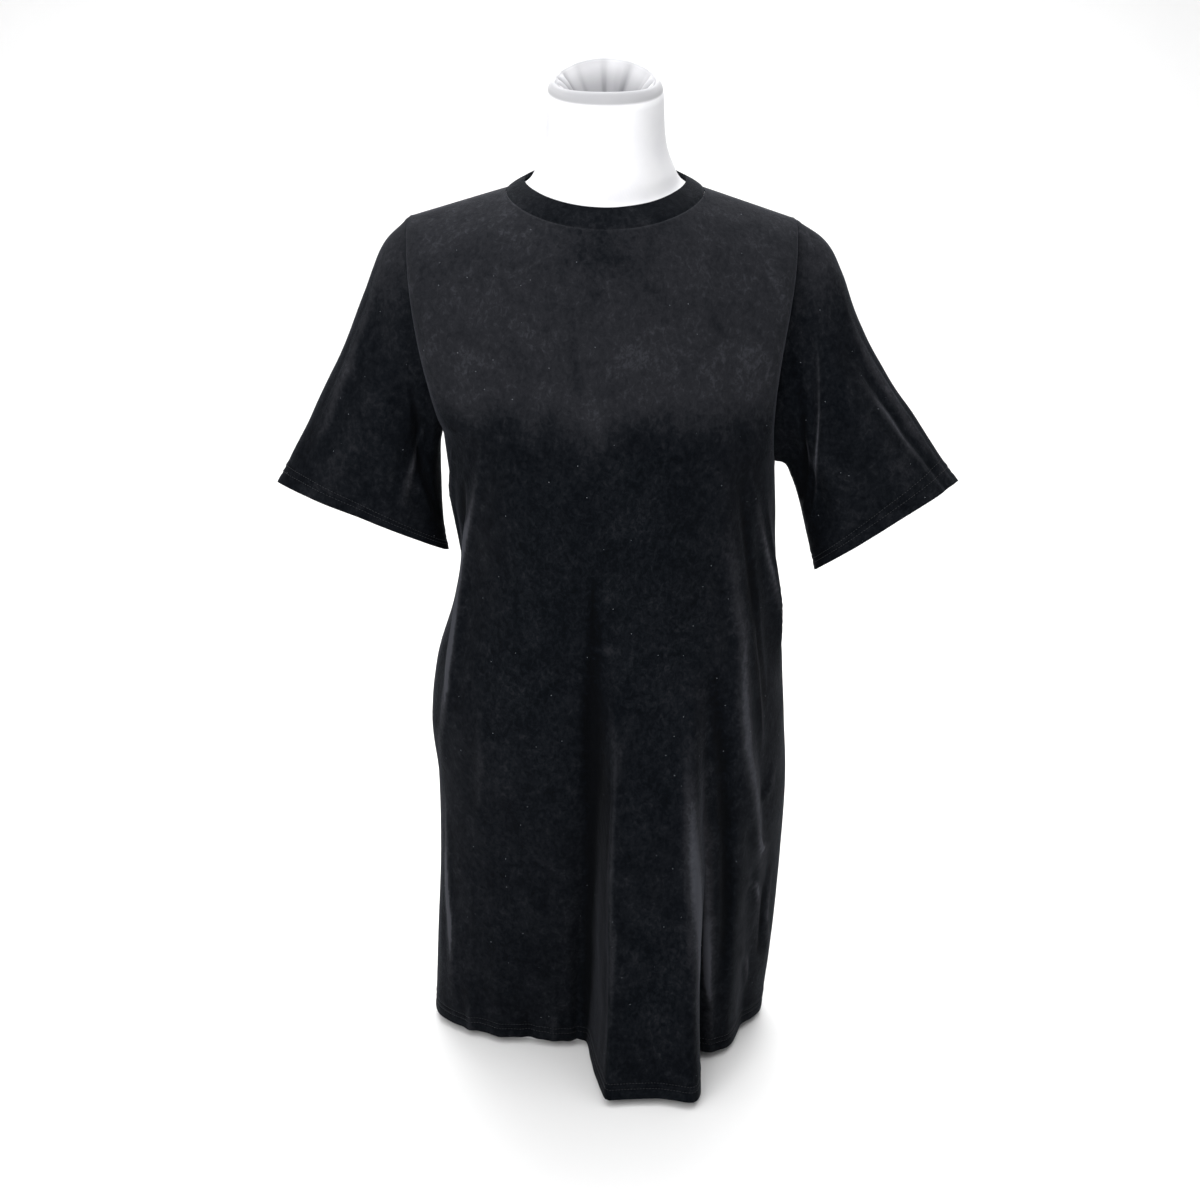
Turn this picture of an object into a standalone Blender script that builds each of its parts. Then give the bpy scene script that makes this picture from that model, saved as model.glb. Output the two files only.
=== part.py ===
"""A short-sleeved velour T-shirt dress hanging on a limbless dress form.

Metres, +Z up. The wearer's front faces -Y, and -X is the wearer's right. The origin is on the floor,
on the axis of the form's pole. The cloth is one skin of grid points, thickened into a wall and cut
into its panels along the sewn seams, so neighbouring panels share their seam line.
"""

import math
from collections import namedtuple

import bmesh
import bpy
import numpy as np
from mathutils import Vector

# Cloth
WALL = 0.002
HEM_WALL = 0.0032
BAND_WALL = 0.0028
SEAM_GAP = 0.0003
MITRE_LIMIT = 0.5

# Dress heights
HEM_Z = 0.009
HEM_DEPTH = 0.020
FRONT_NECK_DROP = 0.029
BACK_NECK_RISE = 0.013

# Shoulders, armholes and neckline
SHOULDER_Y = -0.008
SHOULDER_SHARE = 0.2
NECK_POINT = Vector((0.093, SHOULDER_Y, 0.891))
ARMPIT_Y = -0.010
RIDGE_ROUND = 0.030
NAPE_RISE = 0.042
NECKLINE_POWER = 1.3
ARMHOLE_SPREAD = 2.4
ARMHOLE_EDGE = 7
SLEEVE_LENGTH = 0.25
SLEEVE_BLEND = 0.35
CREASE_ENDS = 0.7
Side = namedtuple("Side", "sign tip_x tip_z armpit_x armpit_z bow")
DRESS_RIGHT_ARM = Side(-1, 0.1855, 0.864, 0.157, 0.668, 0.004)
DRESS_LEFT_ARM = Side(1, 0.1795, 0.862, 0.164, 0.630, 0.012)
ARMHOLE_FRONT = 0.046
ARMHOLE_BACK = 0.050

# How the cloth leans in and then turns over towards the shoulder ridge
Turn = namedtuple("Turn", "lean power softness")
FRONT_TURN = Turn(0.22, 5.0, 0.05)
BACK_TURN = Turn(0.12, 4.5, 0.05)

# Neckband, from the neckline seam to its top edge
BAND_TOP_X = 0.0765
BAND_TOP_FRONT_Y = -0.081
BAND_TOP_BACK_Y = 0.048
BAND_TOP_SIDE_Z = 0.9005
BAND_FRONT_DROP = 0.021
BAND_BACK_RISE = 0.014

# Grid sizes
SHOULDER_COLUMNS = 8
FRONT_NECK_COLUMNS = 24
BACK_NECK_COLUMNS = 14
BODY_ROWS = 15
ARMHOLE_ROWS = 11
SLEEVE_ROWS = 9
BAND_ROWS = 2
RING_SAMPLES = 720

# The body's sections. left, right, front and back are how far each reaches from the pole's axis, and
# side_y is where the section is widest.
Section = namedtuple("Section", "height left right front back side_y squareness")
DRESS_SECTIONS = (
    Section(0.009, 0.184, 0.171, 0.050, 0.112, 0.030, 2.1),
    Section(0.100, 0.179, 0.179, 0.062, 0.115, 0.024, 2.2),
    Section(0.200, 0.173, 0.185, 0.082, 0.118, 0.016, 2.2),
    Section(0.300, 0.172, 0.187, 0.102, 0.120, 0.008, 2.2),
    Section(0.370, 0.175, 0.182, 0.113, 0.114, 0.000, 2.3),
    Section(0.430, 0.168, 0.178, 0.121, 0.104, -0.006, 2.3),
    Section(0.490, 0.150, 0.173, 0.128, 0.094, -0.010, 2.3),
    Section(0.540, 0.142, 0.168, 0.134, 0.088, -0.010, 2.3),
    Section(0.590, 0.147, 0.166, 0.139, 0.087, -0.010, 2.3),
    Section(0.640, 0.155, 0.165, 0.143, 0.089, -0.010, 2.3),
    Section(0.680, 0.157, 0.164, 0.141, 0.092, -0.010, 2.3),
)

# The body's folds. at_low and at_high are the distance round the cloth from the centre front, or centre
# back, positive to the wearer's left. edge is how softly a fold's side turns. A fold with a growth hangs
# open from high to low; one without fades out at both.
Fold = namedtuple("Fold", "from_back low high at_low at_high half_low half_high depth edge growth")
FOLDS = {
    "front_flute": Fold(False, HEM_Z, 0.480, 0.038, 0.048, 0.035, 0.044, 0.110, 0.010, 1.25),
    "flute_lip": Fold(False, HEM_Z, 0.400, 0.060, 0.080, 0.006, 0.008, 0.010, 0.014, 1.0),
    "flute_shoulder": Fold(False, HEM_Z, 0.500, 0.106, 0.125, 0.030, 0.036, 0.034, 0.022, 1.0),
    "flute_valley": Fold(False, HEM_Z, 0.560, -0.018, -0.012, 0.006, 0.010, -0.008, 0.014, 1.0),
    "left_side_ridge": Fold(False, 0.400, 0.628, 0.206, 0.172, 0.004, 0.004, 0.012, 0.017, 0),
    "left_front_ridge": Fold(False, 0.280, 0.620, 0.168, 0.140, 0.003, 0.003, 0.010, 0.016, 0),
    "right_side_ridge": Fold(False, 0.360, 0.640, -0.176, -0.144, 0.004, 0.004, 0.009, 0.017, 0),
    "right_hem_wave": Fold(False, HEM_Z, 0.160, -0.112, -0.112, 0.006, 0.006, 0.006, 0.014, 1.0),
    "back_flute_left": Fold(True, HEM_Z, 0.440, 0.096, 0.084, 0.016, 0.020, 0.034, 0.015, 1.2),
    "back_flute_centre": Fold(True, HEM_Z, 0.380, -0.006, 0.000, 0.014, 0.016, 0.026, 0.015, 1.2),
    "back_flute_right": Fold(True, HEM_Z, 0.470, -0.100, -0.084, 0.016, 0.020, 0.038, 0.015, 1.2),
}
TRACKED_DEPTH = 0.020
TRACKING_TOP = 0.625
TRACKING_SPAN = 0.320

# The sleeves' edges seen from the front, from the armhole to the cuff. depth is half the tube's
# thickness front to back, and near_lift raises the front of the cuff over its back.
Station = namedtuple("Station", "along outer_x outer_z inner_x inner_z depth near_lift")
RIGHT_ARM_SLEEVE = (
    Station(0.10, 0.2045, 0.844, 0.1605, 0.652, 0.048, 0.000),
    Station(0.30, 0.2280, 0.795, 0.1615, 0.628, 0.049, 0.001),
    Station(0.50, 0.2525, 0.741, 0.1615, 0.603, 0.049, 0.003),
    Station(0.70, 0.2780, 0.687, 0.1605, 0.578, 0.046, 0.005),
    Station(0.85, 0.2985, 0.647, 0.1590, 0.559, 0.043, 0.007),
    Station(1.00, 0.3210, 0.608, 0.1565, 0.539, 0.040, 0.009),
)
LEFT_ARM_SLEEVE = (
    Station(0.10, 0.2030, 0.845, 0.1740, 0.627, 0.048, 0.000),
    Station(0.28, 0.2240, 0.812, 0.1815, 0.613, 0.050, 0.001),
    Station(0.48, 0.2440, 0.765, 0.1880, 0.594, 0.050, 0.003),
    Station(0.68, 0.2735, 0.711, 0.1940, 0.571, 0.047, 0.005),
    Station(0.84, 0.3065, 0.664, 0.2005, 0.546, 0.043, 0.008),
    Station(1.00, 0.3465, 0.609, 0.2080, 0.518, 0.038, 0.011),
)

# The sleeves' folds, lengthwise. turn is measured round the sleeve in quarters: 0 at the outer edge, 1 at
# the front, 2 under the arm and 3 at the back.
Crease = namedtuple("Crease", "start end turn_start turn_end half_turn depth")
RIGHT_ARM_CREASES = (
    Crease(0.00, 0.80, 1.60, 1.35, 0.30, -0.010),
    Crease(0.05, 1.50, 0.95, 0.55, 0.28, 0.007),
    Crease(0.15, 1.00, 3.10, 3.30, 0.35, -0.007),
)
LEFT_ARM_CREASES = (
    Crease(0.00, 0.85, 1.65, 1.55, 0.30, -0.014),
    Crease(0.10, 1.50, 0.95, 0.55, 0.30, 0.013),
    Crease(0.10, 1.00, 3.00, 3.25, 0.35, -0.007),
)

# The form
FORM_CLEARANCE = 0.0006
FORM_TIP_INSET = 0.012
FORM_NECK_INSET = 0.004
FORM_BOTTOM_Z = 0.215
FORM_SECTIONS = (
    Section(0.215, 0.146, 0.146, 0.074, 0.092, 0.004, 2.1),
    Section(0.260, 0.157, 0.157, 0.084, 0.104, 0.002, 2.1),
    Section(0.310, 0.160, 0.162, 0.090, 0.108, 0.000, 2.1),
    Section(0.370, 0.153, 0.155, 0.090, 0.100, -0.002, 2.1),
    Section(0.430, 0.130, 0.131, 0.086, 0.082, -0.006, 2.1),
    Section(0.490, 0.116, 0.116, 0.088, 0.070, -0.010, 2.1),
    Section(0.550, 0.123, 0.124, 0.104, 0.070, -0.010, 2.1),
    Section(0.600, 0.134, 0.136, 0.122, 0.074, -0.010, 2.1),
    Section(0.640, 0.141, 0.144, 0.131, 0.077, -0.010, 2.1),
    Section(0.680, 0.144, 0.148, 0.129, 0.080, -0.010, 2.1),
)
FORM_RIGHT_ARM = Side(-1, DRESS_RIGHT_ARM.tip_x - FORM_TIP_INSET, 0.0, 0.142, 0.668, 0.004)
FORM_LEFT_ARM = Side(1, DRESS_LEFT_ARM.tip_x - FORM_TIP_INSET, 0.0, 0.145, 0.630, 0.006)
FORM_ARMHOLE_FRONT = 0.036
FORM_ARMHOLE_BACK = 0.038
FORM_SHOULDER_COLUMNS = 4
FORM_NECK_COLUMNS = 12
FORM_BODY_ROWS = 9
FORM_ARMHOLE_ROWS = 6

# The form's neck, as rings that stand on the cloth cover's neckline and lean as the cap does
NECK_Y = -0.014
CAP_SLOPE = math.tan(math.radians(15.5))
NeckRing = namedtuple("NeckRing", "height half_width half_depth slope")
NECK_RINGS = (
    NeckRing(0.8960, 0.0715, 0.0575, 0.28),
    NeckRing(0.9100, 0.0640, 0.0570, 0.22),
    NeckRing(0.9260, 0.0580, 0.0560, 0.15),
    NeckRing(0.9450, 0.0550, 0.0555, 0.18),
    NeckRing(0.9760, 0.0535, 0.0550, CAP_SLOPE),
    NeckRing(0.9850, 0.0505, 0.0520, CAP_SLOPE),
    NeckRing(0.9870, 0.0460, 0.0475, CAP_SLOPE),
    NeckRing(0.9800, 0.0410, 0.0420, CAP_SLOPE),
    NeckRing(0.9620, 0.0270, 0.0280, CAP_SLOPE),
    NeckRing(0.9480, 0.0120, 0.0120, CAP_SLOPE),
)

# The stand
POLE_RADIUS = 0.014
FLANGE_RADIUS = 0.045
FLANGE_THICKNESS = 0.006
STAND_SIDES = 24
BASE_HALF_WIDTH = 0.140
BASE_HALF_DEPTH = 0.062
BASE_Y = 0.030
BASE_THICKNESS = 0.0075
BASE_BEVEL = 0.002
BASE_SQUARENESS = 3.0
BASE_SIDES = 40


def clear_scene():
    """Removes the start-up objects."""
    for item in list(bpy.data.objects):
        bpy.data.objects.remove(item)


def make_material(name, colour, roughness, metallic=0.0):
    """A Principled finish of one colour."""
    material = bpy.data.materials.new(name)
    material.use_nodes = True
    shader = material.node_tree.nodes["Principled BSDF"]
    shader.inputs["Base Color"].default_value = (*colour, 1.0)
    shader.inputs["Roughness"].default_value = roughness
    shader.inputs["Metallic"].default_value = metallic
    return material


def add_object(name, mesh, material):
    """Puts a finished mesh in the scene as the node of this name."""
    mesh.materials.append(material)
    mesh.shade_smooth()
    mesh.set_sharp_from_angle(angle=math.radians(40))
    made = bpy.data.objects.new(name, mesh)
    bpy.context.scene.collection.objects.link(made)
    return made


def smooth_step(value):
    """0 below 0, 1 above 1, and an even turn between."""
    value = np.clip(value, 0.0, 1.0)
    return value * value * (3.0 - 2.0 * value)


def curve_through(places, values, at):
    """A smooth curve through the values at rising places, read at one place."""
    places, values = np.asarray(places, float), np.asarray(values, float)
    at = min(max(at, places[0]), places[-1])
    slopes = np.gradient(values, places)
    left = min(int(np.searchsorted(places, at, side="right")) - 1, len(places) - 2)
    span = places[left + 1] - places[left]
    t = (at - places[left]) / span
    return float(
        values[left] * (1 + 2 * t) * (1 - t) ** 2
        + values[left + 1] * t * t * (3 - 2 * t)
        + span * (slopes[left] * t * (1 - t) ** 2 - slopes[left + 1] * t * t * (1 - t))
    )


def section_at(sections, height):
    """The section table read at any height."""
    heights = [row.height for row in sections]
    return Section(height, *(
        curve_through(heights, [getattr(row, field) for row in sections], height)
        for field in Section._fields[1:]
    ))


def oval(section):
    """A section's outline as x and y, from the centre back round by the wearer's right and the front."""
    turn = np.linspace(-math.pi, math.pi, RING_SAMPLES + 1)
    sine, cosine = np.sin(turn), np.cos(turn)
    power = 2.0 / section.squareness
    across = np.sign(sine) * np.abs(sine) ** power
    along = np.sign(cosine) * np.abs(cosine) ** power
    x = across * np.where(across < 0, section.left, section.right)
    reach = np.where(along > 0, section.front + section.side_y, section.back - section.side_y)
    return x, section.side_y - along * reach


def travel(x, y):
    """The distance gone along a line of points, at each of them."""
    return np.concatenate([[0.0], np.cumsum(np.hypot(np.diff(x), np.diff(y)))])


def fold_drop(fold, height):
    """How far down a fold a height lies, from 0 at its top to 1 at its foot."""
    return min(1.0, max(0.0, (fold.high - height) / (fold.high - fold.low)))


def fold_middle(fold, height):
    """A fold's place round the body and its half width at a height."""
    drop = fold_drop(fold, height)
    place = fold.at_high + (fold.at_low - fold.at_high) * drop
    return place, fold.half_high + (fold.half_low - fold.half_high) * drop


def fold_lift(fold, height, distance):
    """How far a fold lifts the cloth at these distances round it."""
    drop = fold_drop(fold, height)
    place, half = fold_middle(fold, height)
    shape = smooth_step((half + fold.edge - np.abs(distance - place)) / (2 * fold.edge))
    size = drop**fold.growth if fold.growth else math.sin(math.pi * drop) ** 2
    return fold.depth * size * shape


# One half of a section's outline, from the wearer's right to left: its points, the distance from the
# middle before folding, and the distance along it once folded.
HalfOutline = namedtuple("HalfOutline", "x y base along")


def half_outline(body, height, back):
    """The front or back half of the body's outline at a height, with its folds."""
    x, y = oval(section_at(body.sections, height))
    base = travel(x, y)
    from_front = base - base[RING_SAMPLES // 2]
    half_round = base[-1] / 2
    from_back = np.where(from_front >= 0, half_round - from_front, -half_round - from_front)
    lift = np.zeros_like(x)
    for fold in body.folds:
        lift += fold_lift(fold, height, from_back if fold.from_back else from_front)
    tangent_x, tangent_y = np.gradient(x), np.gradient(y)
    tangent_x[[0, -1]], tangent_y[[0, -1]] = -1.0, 0.0
    length = np.hypot(tangent_x, tangent_y)
    x, y = x + lift * tangent_y / length, y - lift * tangent_x / length
    quarter = RING_SAMPLES // 4
    if back:
        order = np.r_[quarter:-1:-1, RING_SAMPLES - 1:3 * quarter - 1:-1]
        x, y, base = x[order], y[order], from_back[order]
    else:
        order = np.arange(quarter, 3 * quarter + 1)
        x, y, base = x[order], y[order], from_front[order]
    return HalfOutline(x, y, base, travel(x, y))


def fold_edges(body, height, back):
    """Where the feet and shoulders of the deep folds of one half lie along it, and its length."""
    outline = half_outline(body, height, back)
    places = []
    for fold in body.folds:
        if fold.from_back == back and fold.growth and fold.depth >= TRACKED_DEPTH:
            middle, half = fold_middle(fold, height)
            steps = (half - fold.edge, half + fold.edge)
            places += [middle + side * step for side in (-1, 1) for step in steps]
    return np.interp(sorted(places), outline.base, outline.along), outline


def along_half(body, height, share, back):
    """The point a share of the way along a half outline. Columns run down the deep folds' edges."""
    edges, outline = fold_edges(body, height, back)
    length = outline.along[-1]
    at = share * length
    if len(edges):
        hem_edges, hem = fold_edges(body, HEM_Z, back)
        anchors = hem_edges / hem.along[-1]
        follow = float(smooth_step((TRACKING_TOP - height) / TRACKING_SPAN))
        here = anchors + (edges / length - anchors) * follow
        at = length * float(np.interp(share, [0.0, *anchors, 1.0], [0.0, *here, 1.0]))
    return float(np.interp(at, outline.along, outline.x)), float(np.interp(at, outline.along, outline.y))


# A body is what the dress and the form have in common: sections, folds, shoulders and a neckline.
Body = namedtuple(
    "Body", "sections folds right left neck front_drop back_rise armhole_front armhole_back",
)


def armpit_height(body, share):
    """The height of the lower body's top row, from the wearer's right armpit to the left one."""
    return body.right.armpit_z + (body.left.armpit_z - body.right.armpit_z) * share


def lower_point(body, share, height, back):
    """A point of the body between hem and armpits."""
    return Vector((*along_half(body, height, share, back), height))


def ridge_height(body, x, back=False):
    """The height of the shoulder ridge at a distance from the centre. Behind, it runs up to the nape."""
    side = body.left if x > 0 else body.right
    near, far = math.hypot(body.neck.x, RIDGE_ROUND), math.hypot(side.tip_x, RIDGE_ROUND)
    slope = (body.neck.z - side.tip_z) / (far - near)
    inward = min(1.0, abs(x) / body.neck.x)
    nape = NAPE_RISE * math.cos(inward * math.pi / 2) ** 2 if back else 0.0
    return body.neck.z + slope * (near - math.hypot(x, RIDGE_ROUND)) + nape


def top_edge(body, share, back):
    """The panel's upper edge as x and z: shoulder seam, neckline, shoulder seam."""
    side = body.left if share > 0.5 else body.right
    from_tip = min(share, 1.0 - share) / SHOULDER_SHARE
    if from_tip <= 1.0:
        x = side.sign * (side.tip_x + (body.neck.x - side.tip_x) * from_tip)
        return x, ridge_height(body, x)
    turn = ((share - SHOULDER_SHARE) / (1.0 - 2.0 * SHOULDER_SHARE) - 0.5) * math.pi
    level = math.cos(turn)
    rise = body.back_rise * level**2 if back else -body.front_drop * level**NECKLINE_POWER
    return body.neck.x * math.sin(turn), body.neck.z + rise


def chest_turn(rise, back):
    """How far back over the shoulder the cloth has come at a share of the way up to the ridge."""
    turn = BACK_TURN if back else FRONT_TURN
    lean = rise * rise * (1.0 + turn.softness) / (rise + turn.softness)
    return turn.lean * lean + (1.0 - turn.lean) * (1.0 - math.sqrt(1.0 - rise**turn.power))


def upper_point(body, share, climb, back):
    """A point of the body between armpit level, climb 0, and the shoulder or neckline, climb 1.

    The bow is 1 at its largest, a third of the way up, which is what the 6.75 is for.
    """
    side = body.left if share > 0.5 else body.right
    start = armpit_height(body, share)
    low_x = along_half(body, start, share, back)[0]
    top_x, top_z = top_edge(body, share, back)
    z = start + (top_z - start) * climb
    across = low_x / side.armpit_x + (top_x / side.tip_x - low_x / side.armpit_x) * climb
    x = across * (side.armpit_x + (side.tip_x - side.armpit_x) * (1.0 - (1.0 - climb) ** ARMHOLE_SPREAD))
    low = armpit_height(body, (across + 1.0) / 2)
    rise = min(1.0, max(0.0, (z - low) / (ridge_height(body, x, back) - low)))
    section = section_at(body.sections, low)
    reach = section.back - section.side_y if back else -section.front - section.side_y
    across = min(1.0, abs(across))
    y = section.side_y + reach * (1.0 - across**section.squareness) ** (1.0 / section.squareness)
    edge = across**ARMHOLE_EDGE
    armhole = body.armhole_back if back else -body.armhole_front
    bulge = armhole * edge * 2.0 * math.sqrt(rise - rise * rise)
    bow = 0.0 if back else side.bow * edge * 6.75 * rise * (1.0 - rise) ** 2
    return Vector((x - side.sign * bow, y + (SHOULDER_Y - y) * chest_turn(rise, back) + bulge, z))


def climb_rows(count):
    """Rows up the armhole, closer together at both ends."""
    return [0.5 - 0.5 * math.cos(math.pi * row / count) for row in range(count + 1)]


def column_shares(shoulder_columns, neck_columns):
    """The columns' places across a panel: each shoulder, then the neckline, then the other."""
    edge = SHOULDER_SHARE
    shoulder = [edge * k / shoulder_columns for k in range(shoulder_columns)]
    neck = [edge + (1 - 2 * edge) * k / neck_columns for k in range(neck_columns + 1)]
    return shoulder + neck + [1.0 - share for share in reversed(shoulder)]


def body_rows(body, bottom, count, first_rise=0.0):
    """The lower rows' heights as shares from bottom to armpit, with one row at the hem's depth."""
    start = first_rise / (body.right.armpit_z - bottom)
    rest = [start + (1.0 - start) * (k / count) ** 0.94 for k in range(count + 1)]
    return ([0.0] if first_rise else []) + rest


def panel_grid(body, shares, low_rows, climbs, bottom, back):
    """One body panel as rows of points, from the hem up."""
    grid = []
    for rise in low_rows:
        grid.append([
            lower_point(body, share, bottom + (armpit_height(body, share) - bottom) * rise, back)
            for share in shares
        ])
    for climb in climbs[1:]:
        grid.append([upper_point(body, share, climb, back) for share in shares])
    return grid


def sleeve_ring(side, stations, along):
    """Centre, outward half and depth of the sleeve's ring at a place along it."""
    first = Station(0.0, side.tip_x, side.tip_z, side.armpit_x, side.armpit_z, ARMHOLE_FRONT, 0.0)
    rows = (first, *stations)
    places = [row.along for row in rows]
    return Station(along, *(
        curve_through(places, [getattr(row, field) for row in rows], along)
        for field in Station._fields[1:]
    ))


def crease_lift(creases, along, turn):
    """How far a sleeve's creases move it out at a place."""
    lift = 0.0
    for crease in creases:
        if not crease.start < along < crease.end:
            continue
        run = (along - crease.start) / (crease.end - crease.start)
        middle = crease.turn_start + (crease.turn_end - crease.turn_start) * run
        off = abs(turn * 2.0 / math.pi - middle)
        shape = float(smooth_step(1.0 - min(off, 4.0 - off) / crease.half_turn))
        lift += crease.depth * shape * math.sin(math.pi * run) ** CREASE_ENDS
    return lift


def sleeve_point(side, ring, turn, lift=0.0):
    """A point of the sleeve. turn is 0 at the outer edge, a quarter at the front, a half under the arm."""
    outer = Vector((side.sign * ring.outer_x, SHOULDER_Y, ring.outer_z))
    inner = Vector((side.sign * ring.inner_x, ARMPIT_Y, ring.inner_z))
    centre, half = (outer + inner) / 2, (outer - inner) / 2
    front = math.sin(turn)
    rim = centre + half * math.cos(turn) + Vector((0.0, -ring.depth * front, ring.near_lift * front))
    return rim + (rim - centre).normalized() * lift


def sleeve_grid(side, stations, creases, armhole_loop):
    """The sleeve as rings of points, from the armhole seam to the cuff."""
    count = len(armhole_loop)
    start = sleeve_ring(side, stations, 0.0)
    grid = [list(armhole_loop)]
    hem_share = HEM_DEPTH / SLEEVE_LENGTH
    places = [(1.0 - hem_share) * k / SLEEVE_ROWS for k in range(1, SLEEVE_ROWS + 1)] + [1.0]
    for along in places:
        ring = sleeve_ring(side, stations, along)
        fade = 1.0 - float(smooth_step(along / SLEEVE_BLEND))
        row = []
        for k, seam in enumerate(armhole_loop):
            turn = 2.0 * math.pi * k / count
            offset = (seam - sleeve_point(side, start, turn)) * fade
            row.append(sleeve_point(side, ring, turn, crease_lift(creases, along, turn)) + offset)
        grid.append(row)
    return grid


def band_top_point(point):
    """Where the neckband's top edge lies beside a point of the neckline seam."""
    across = min(1.0, max(-1.0, point.x / NECK_POINT.x))
    level = math.sqrt(max(0.0, 1.0 - across * across))
    back = point.y > NECK_POINT.y
    reach = BAND_TOP_BACK_Y if back else BAND_TOP_FRONT_Y
    rise = BAND_BACK_RISE * level**2 if back else -BAND_FRONT_DROP * level**NECKLINE_POWER
    return Vector((
        BAND_TOP_X * across, NECK_POINT.y + (reach - NECK_POINT.y) * level, BAND_TOP_SIDE_Z + rise,
    ))


def band_grid(neck_loop):
    """The neckband as rings of points, from the seam to the top edge."""
    grid = [list(neck_loop)]
    for row in range(1, BAND_ROWS + 1):
        share = row / BAND_ROWS
        grid.append([point.lerp(band_top_point(point), share) for point in neck_loop])
    return grid


def lay_grid(skin, panels, panel, grid, closed=False, flip=False):
    """Adds a grid of points to the skin as the faces of one panel."""
    rows = [[skin.verts.new(point) for point in row] for row in grid]
    for low, high in zip(rows, rows[1:]):
        count = len(low)
        for k in range(count if closed else count - 1):
            after = (k + 1) % count
            corners = [low[k], low[after], high[after], high[k]]
            face = skin.faces.new(corners[::-1] if flip else corners)
            face[panels] = panel


def dress_skin(body):
    """The whole dress as one skin, each face marked with its panel's number."""
    skin = bmesh.new()
    panels = skin.faces.layers.int.new("panel")
    climbs = climb_rows(ARMHOLE_ROWS)
    low_rows = body_rows(body, HEM_Z, BODY_ROWS, HEM_DEPTH)
    front_shares = column_shares(SHOULDER_COLUMNS, FRONT_NECK_COLUMNS)
    back_shares = column_shares(SHOULDER_COLUMNS, BACK_NECK_COLUMNS)
    front = panel_grid(body, front_shares, low_rows, climbs, HEM_Z, back=False)
    back = panel_grid(body, back_shares, low_rows, climbs, HEM_Z, back=True)
    armpit_row = len(low_rows) - 1
    for row in range(armpit_row + 1):
        back[row][0], back[row][-1] = front[row][0].copy(), front[row][-1].copy()
    lay_grid(skin, panels, 0, front)
    lay_grid(skin, panels, 1, back, flip=True)
    sleeves = (
        (2, body.right, RIGHT_ARM_SLEEVE, RIGHT_ARM_CREASES),
        (3, body.left, LEFT_ARM_SLEEVE, LEFT_ARM_CREASES),
    )
    for number, side, stations, creases in sleeves:
        column = 0 if side.sign < 0 else -1
        down = [front[row][column] for row in range(len(front) - 1, armpit_row - 1, -1)]
        up = [back[row][column] for row in range(armpit_row + 1, len(back) - 1)]
        grid = sleeve_grid(side, stations, creases, down + up)
        lay_grid(skin, panels, number, grid, closed=True, flip=side.sign < 0)
    neck = slice(SHOULDER_COLUMNS, -SHOULDER_COLUMNS)
    neck_loop = front[-1][neck] + back[-1][neck][-2:0:-1]
    lay_grid(skin, panels, 4, band_grid(neck_loop), closed=True)
    bmesh.ops.remove_doubles(skin, verts=skin.verts, dist=1e-6)
    skin.normal_update()
    return skin, panels


def wall_depth(vertex, panels, hem_edges):
    """How far the wall's inner side lies behind a skin point, thicker at turned hems and sharp turns."""
    numbers = {face[panels] for face in vertex.link_faces}
    depth = WALL
    if numbers == {4}:
        depth = BAND_WALL
    elif vertex.index in hem_edges:
        depth = HEM_WALL
    facing = min(face.normal.dot(vertex.normal) for face in vertex.link_faces)
    return depth / max(MITRE_LIMIT, facing)


def seam_shift(vertex, own_faces):
    """The step back from the seams that leaves half the gap on this panel's side."""
    inward = []
    for edge in vertex.link_edges:
        mine = [face for face in edge.link_faces if face in own_faces]
        if len(mine) != 1:
            continue
        along = (edge.other_vert(vertex).co - vertex.co).normalized()
        across = vertex.normal.cross(along).normalized()
        if across.dot(mine[0].calc_center_median() - vertex.co) < 0:
            across.negate()
        inward.append(across)
    if len(inward) < 2:
        return Vector()
    total = inward[0] + inward[1]
    return total * (SEAM_GAP / 2) / max(0.4, 1.0 + inward[0].dot(inward[1]))


def panel_mesh(name, skin, panels, number, depths):
    """One panel's closed wall: its outer faces, its inner faces and the cut edge between them."""
    own_faces = {face for face in skin.faces if face[panels] == number}
    wall = bmesh.new()
    outer, inner = {}, {}
    for vertex in {corner for face in own_faces for corner in face.verts}:
        at = vertex.co + seam_shift(vertex, own_faces)
        outer[vertex] = wall.verts.new(at)
        inner[vertex] = wall.verts.new(at - vertex.normal * depths[vertex.index])
    for face in sorted(own_faces, key=lambda face: face.index):
        wall.faces.new([outer[corner] for corner in face.verts])
        wall.faces.new([inner[corner] for corner in reversed(face.verts)])
        for loop in face.loops:
            shared = [other for other in loop.edge.link_faces if other in own_faces]
            if len(shared) == 1:
                first, second = loop.vert, loop.link_loop_next.vert
                wall.faces.new([outer[second], outer[first], inner[first], inner[second]])
    bmesh.ops.triangulate(wall, faces=wall.faces)
    mesh = bpy.data.meshes.new(name)
    wall.to_mesh(mesh)
    wall.free()
    return mesh


def hem_vertices(skin):
    """The points of the turned hems: the open edges and the row beside them."""
    free = {corner for edge in skin.edges if edge.is_boundary for corner in edge.verts}
    beside = {edge.other_vert(vertex) for vertex in free for edge in vertex.link_edges}
    return {vertex.index for vertex in free | beside}


def make_dress(body, velour):
    """Cuts the skin into the dress's panels."""
    skin, panels = dress_skin(body)
    skin.verts.index_update()
    skin.faces.index_update()
    hems = hem_vertices(skin)
    depths = {vertex.index: wall_depth(vertex, panels, hems) for vertex in skin.verts}
    names = ("front_panel", "back_panel", "right_arm_sleeve", "left_arm_sleeve", "neckband")
    for number, name in enumerate(names):
        add_object(name, panel_mesh(name, skin, panels, number, depths), velour)
    skin.free()


def neck_ring(ring, directions):
    """A ring of the form's neck, leaning forward by its slope, with a point in each direction."""
    return [
        Vector((
            ring.half_width * across,
            NECK_Y + ring.half_depth * along,
            ring.height + ring.slope * ring.half_depth * along,
        ))
        for across, along in directions
    ]


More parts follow.
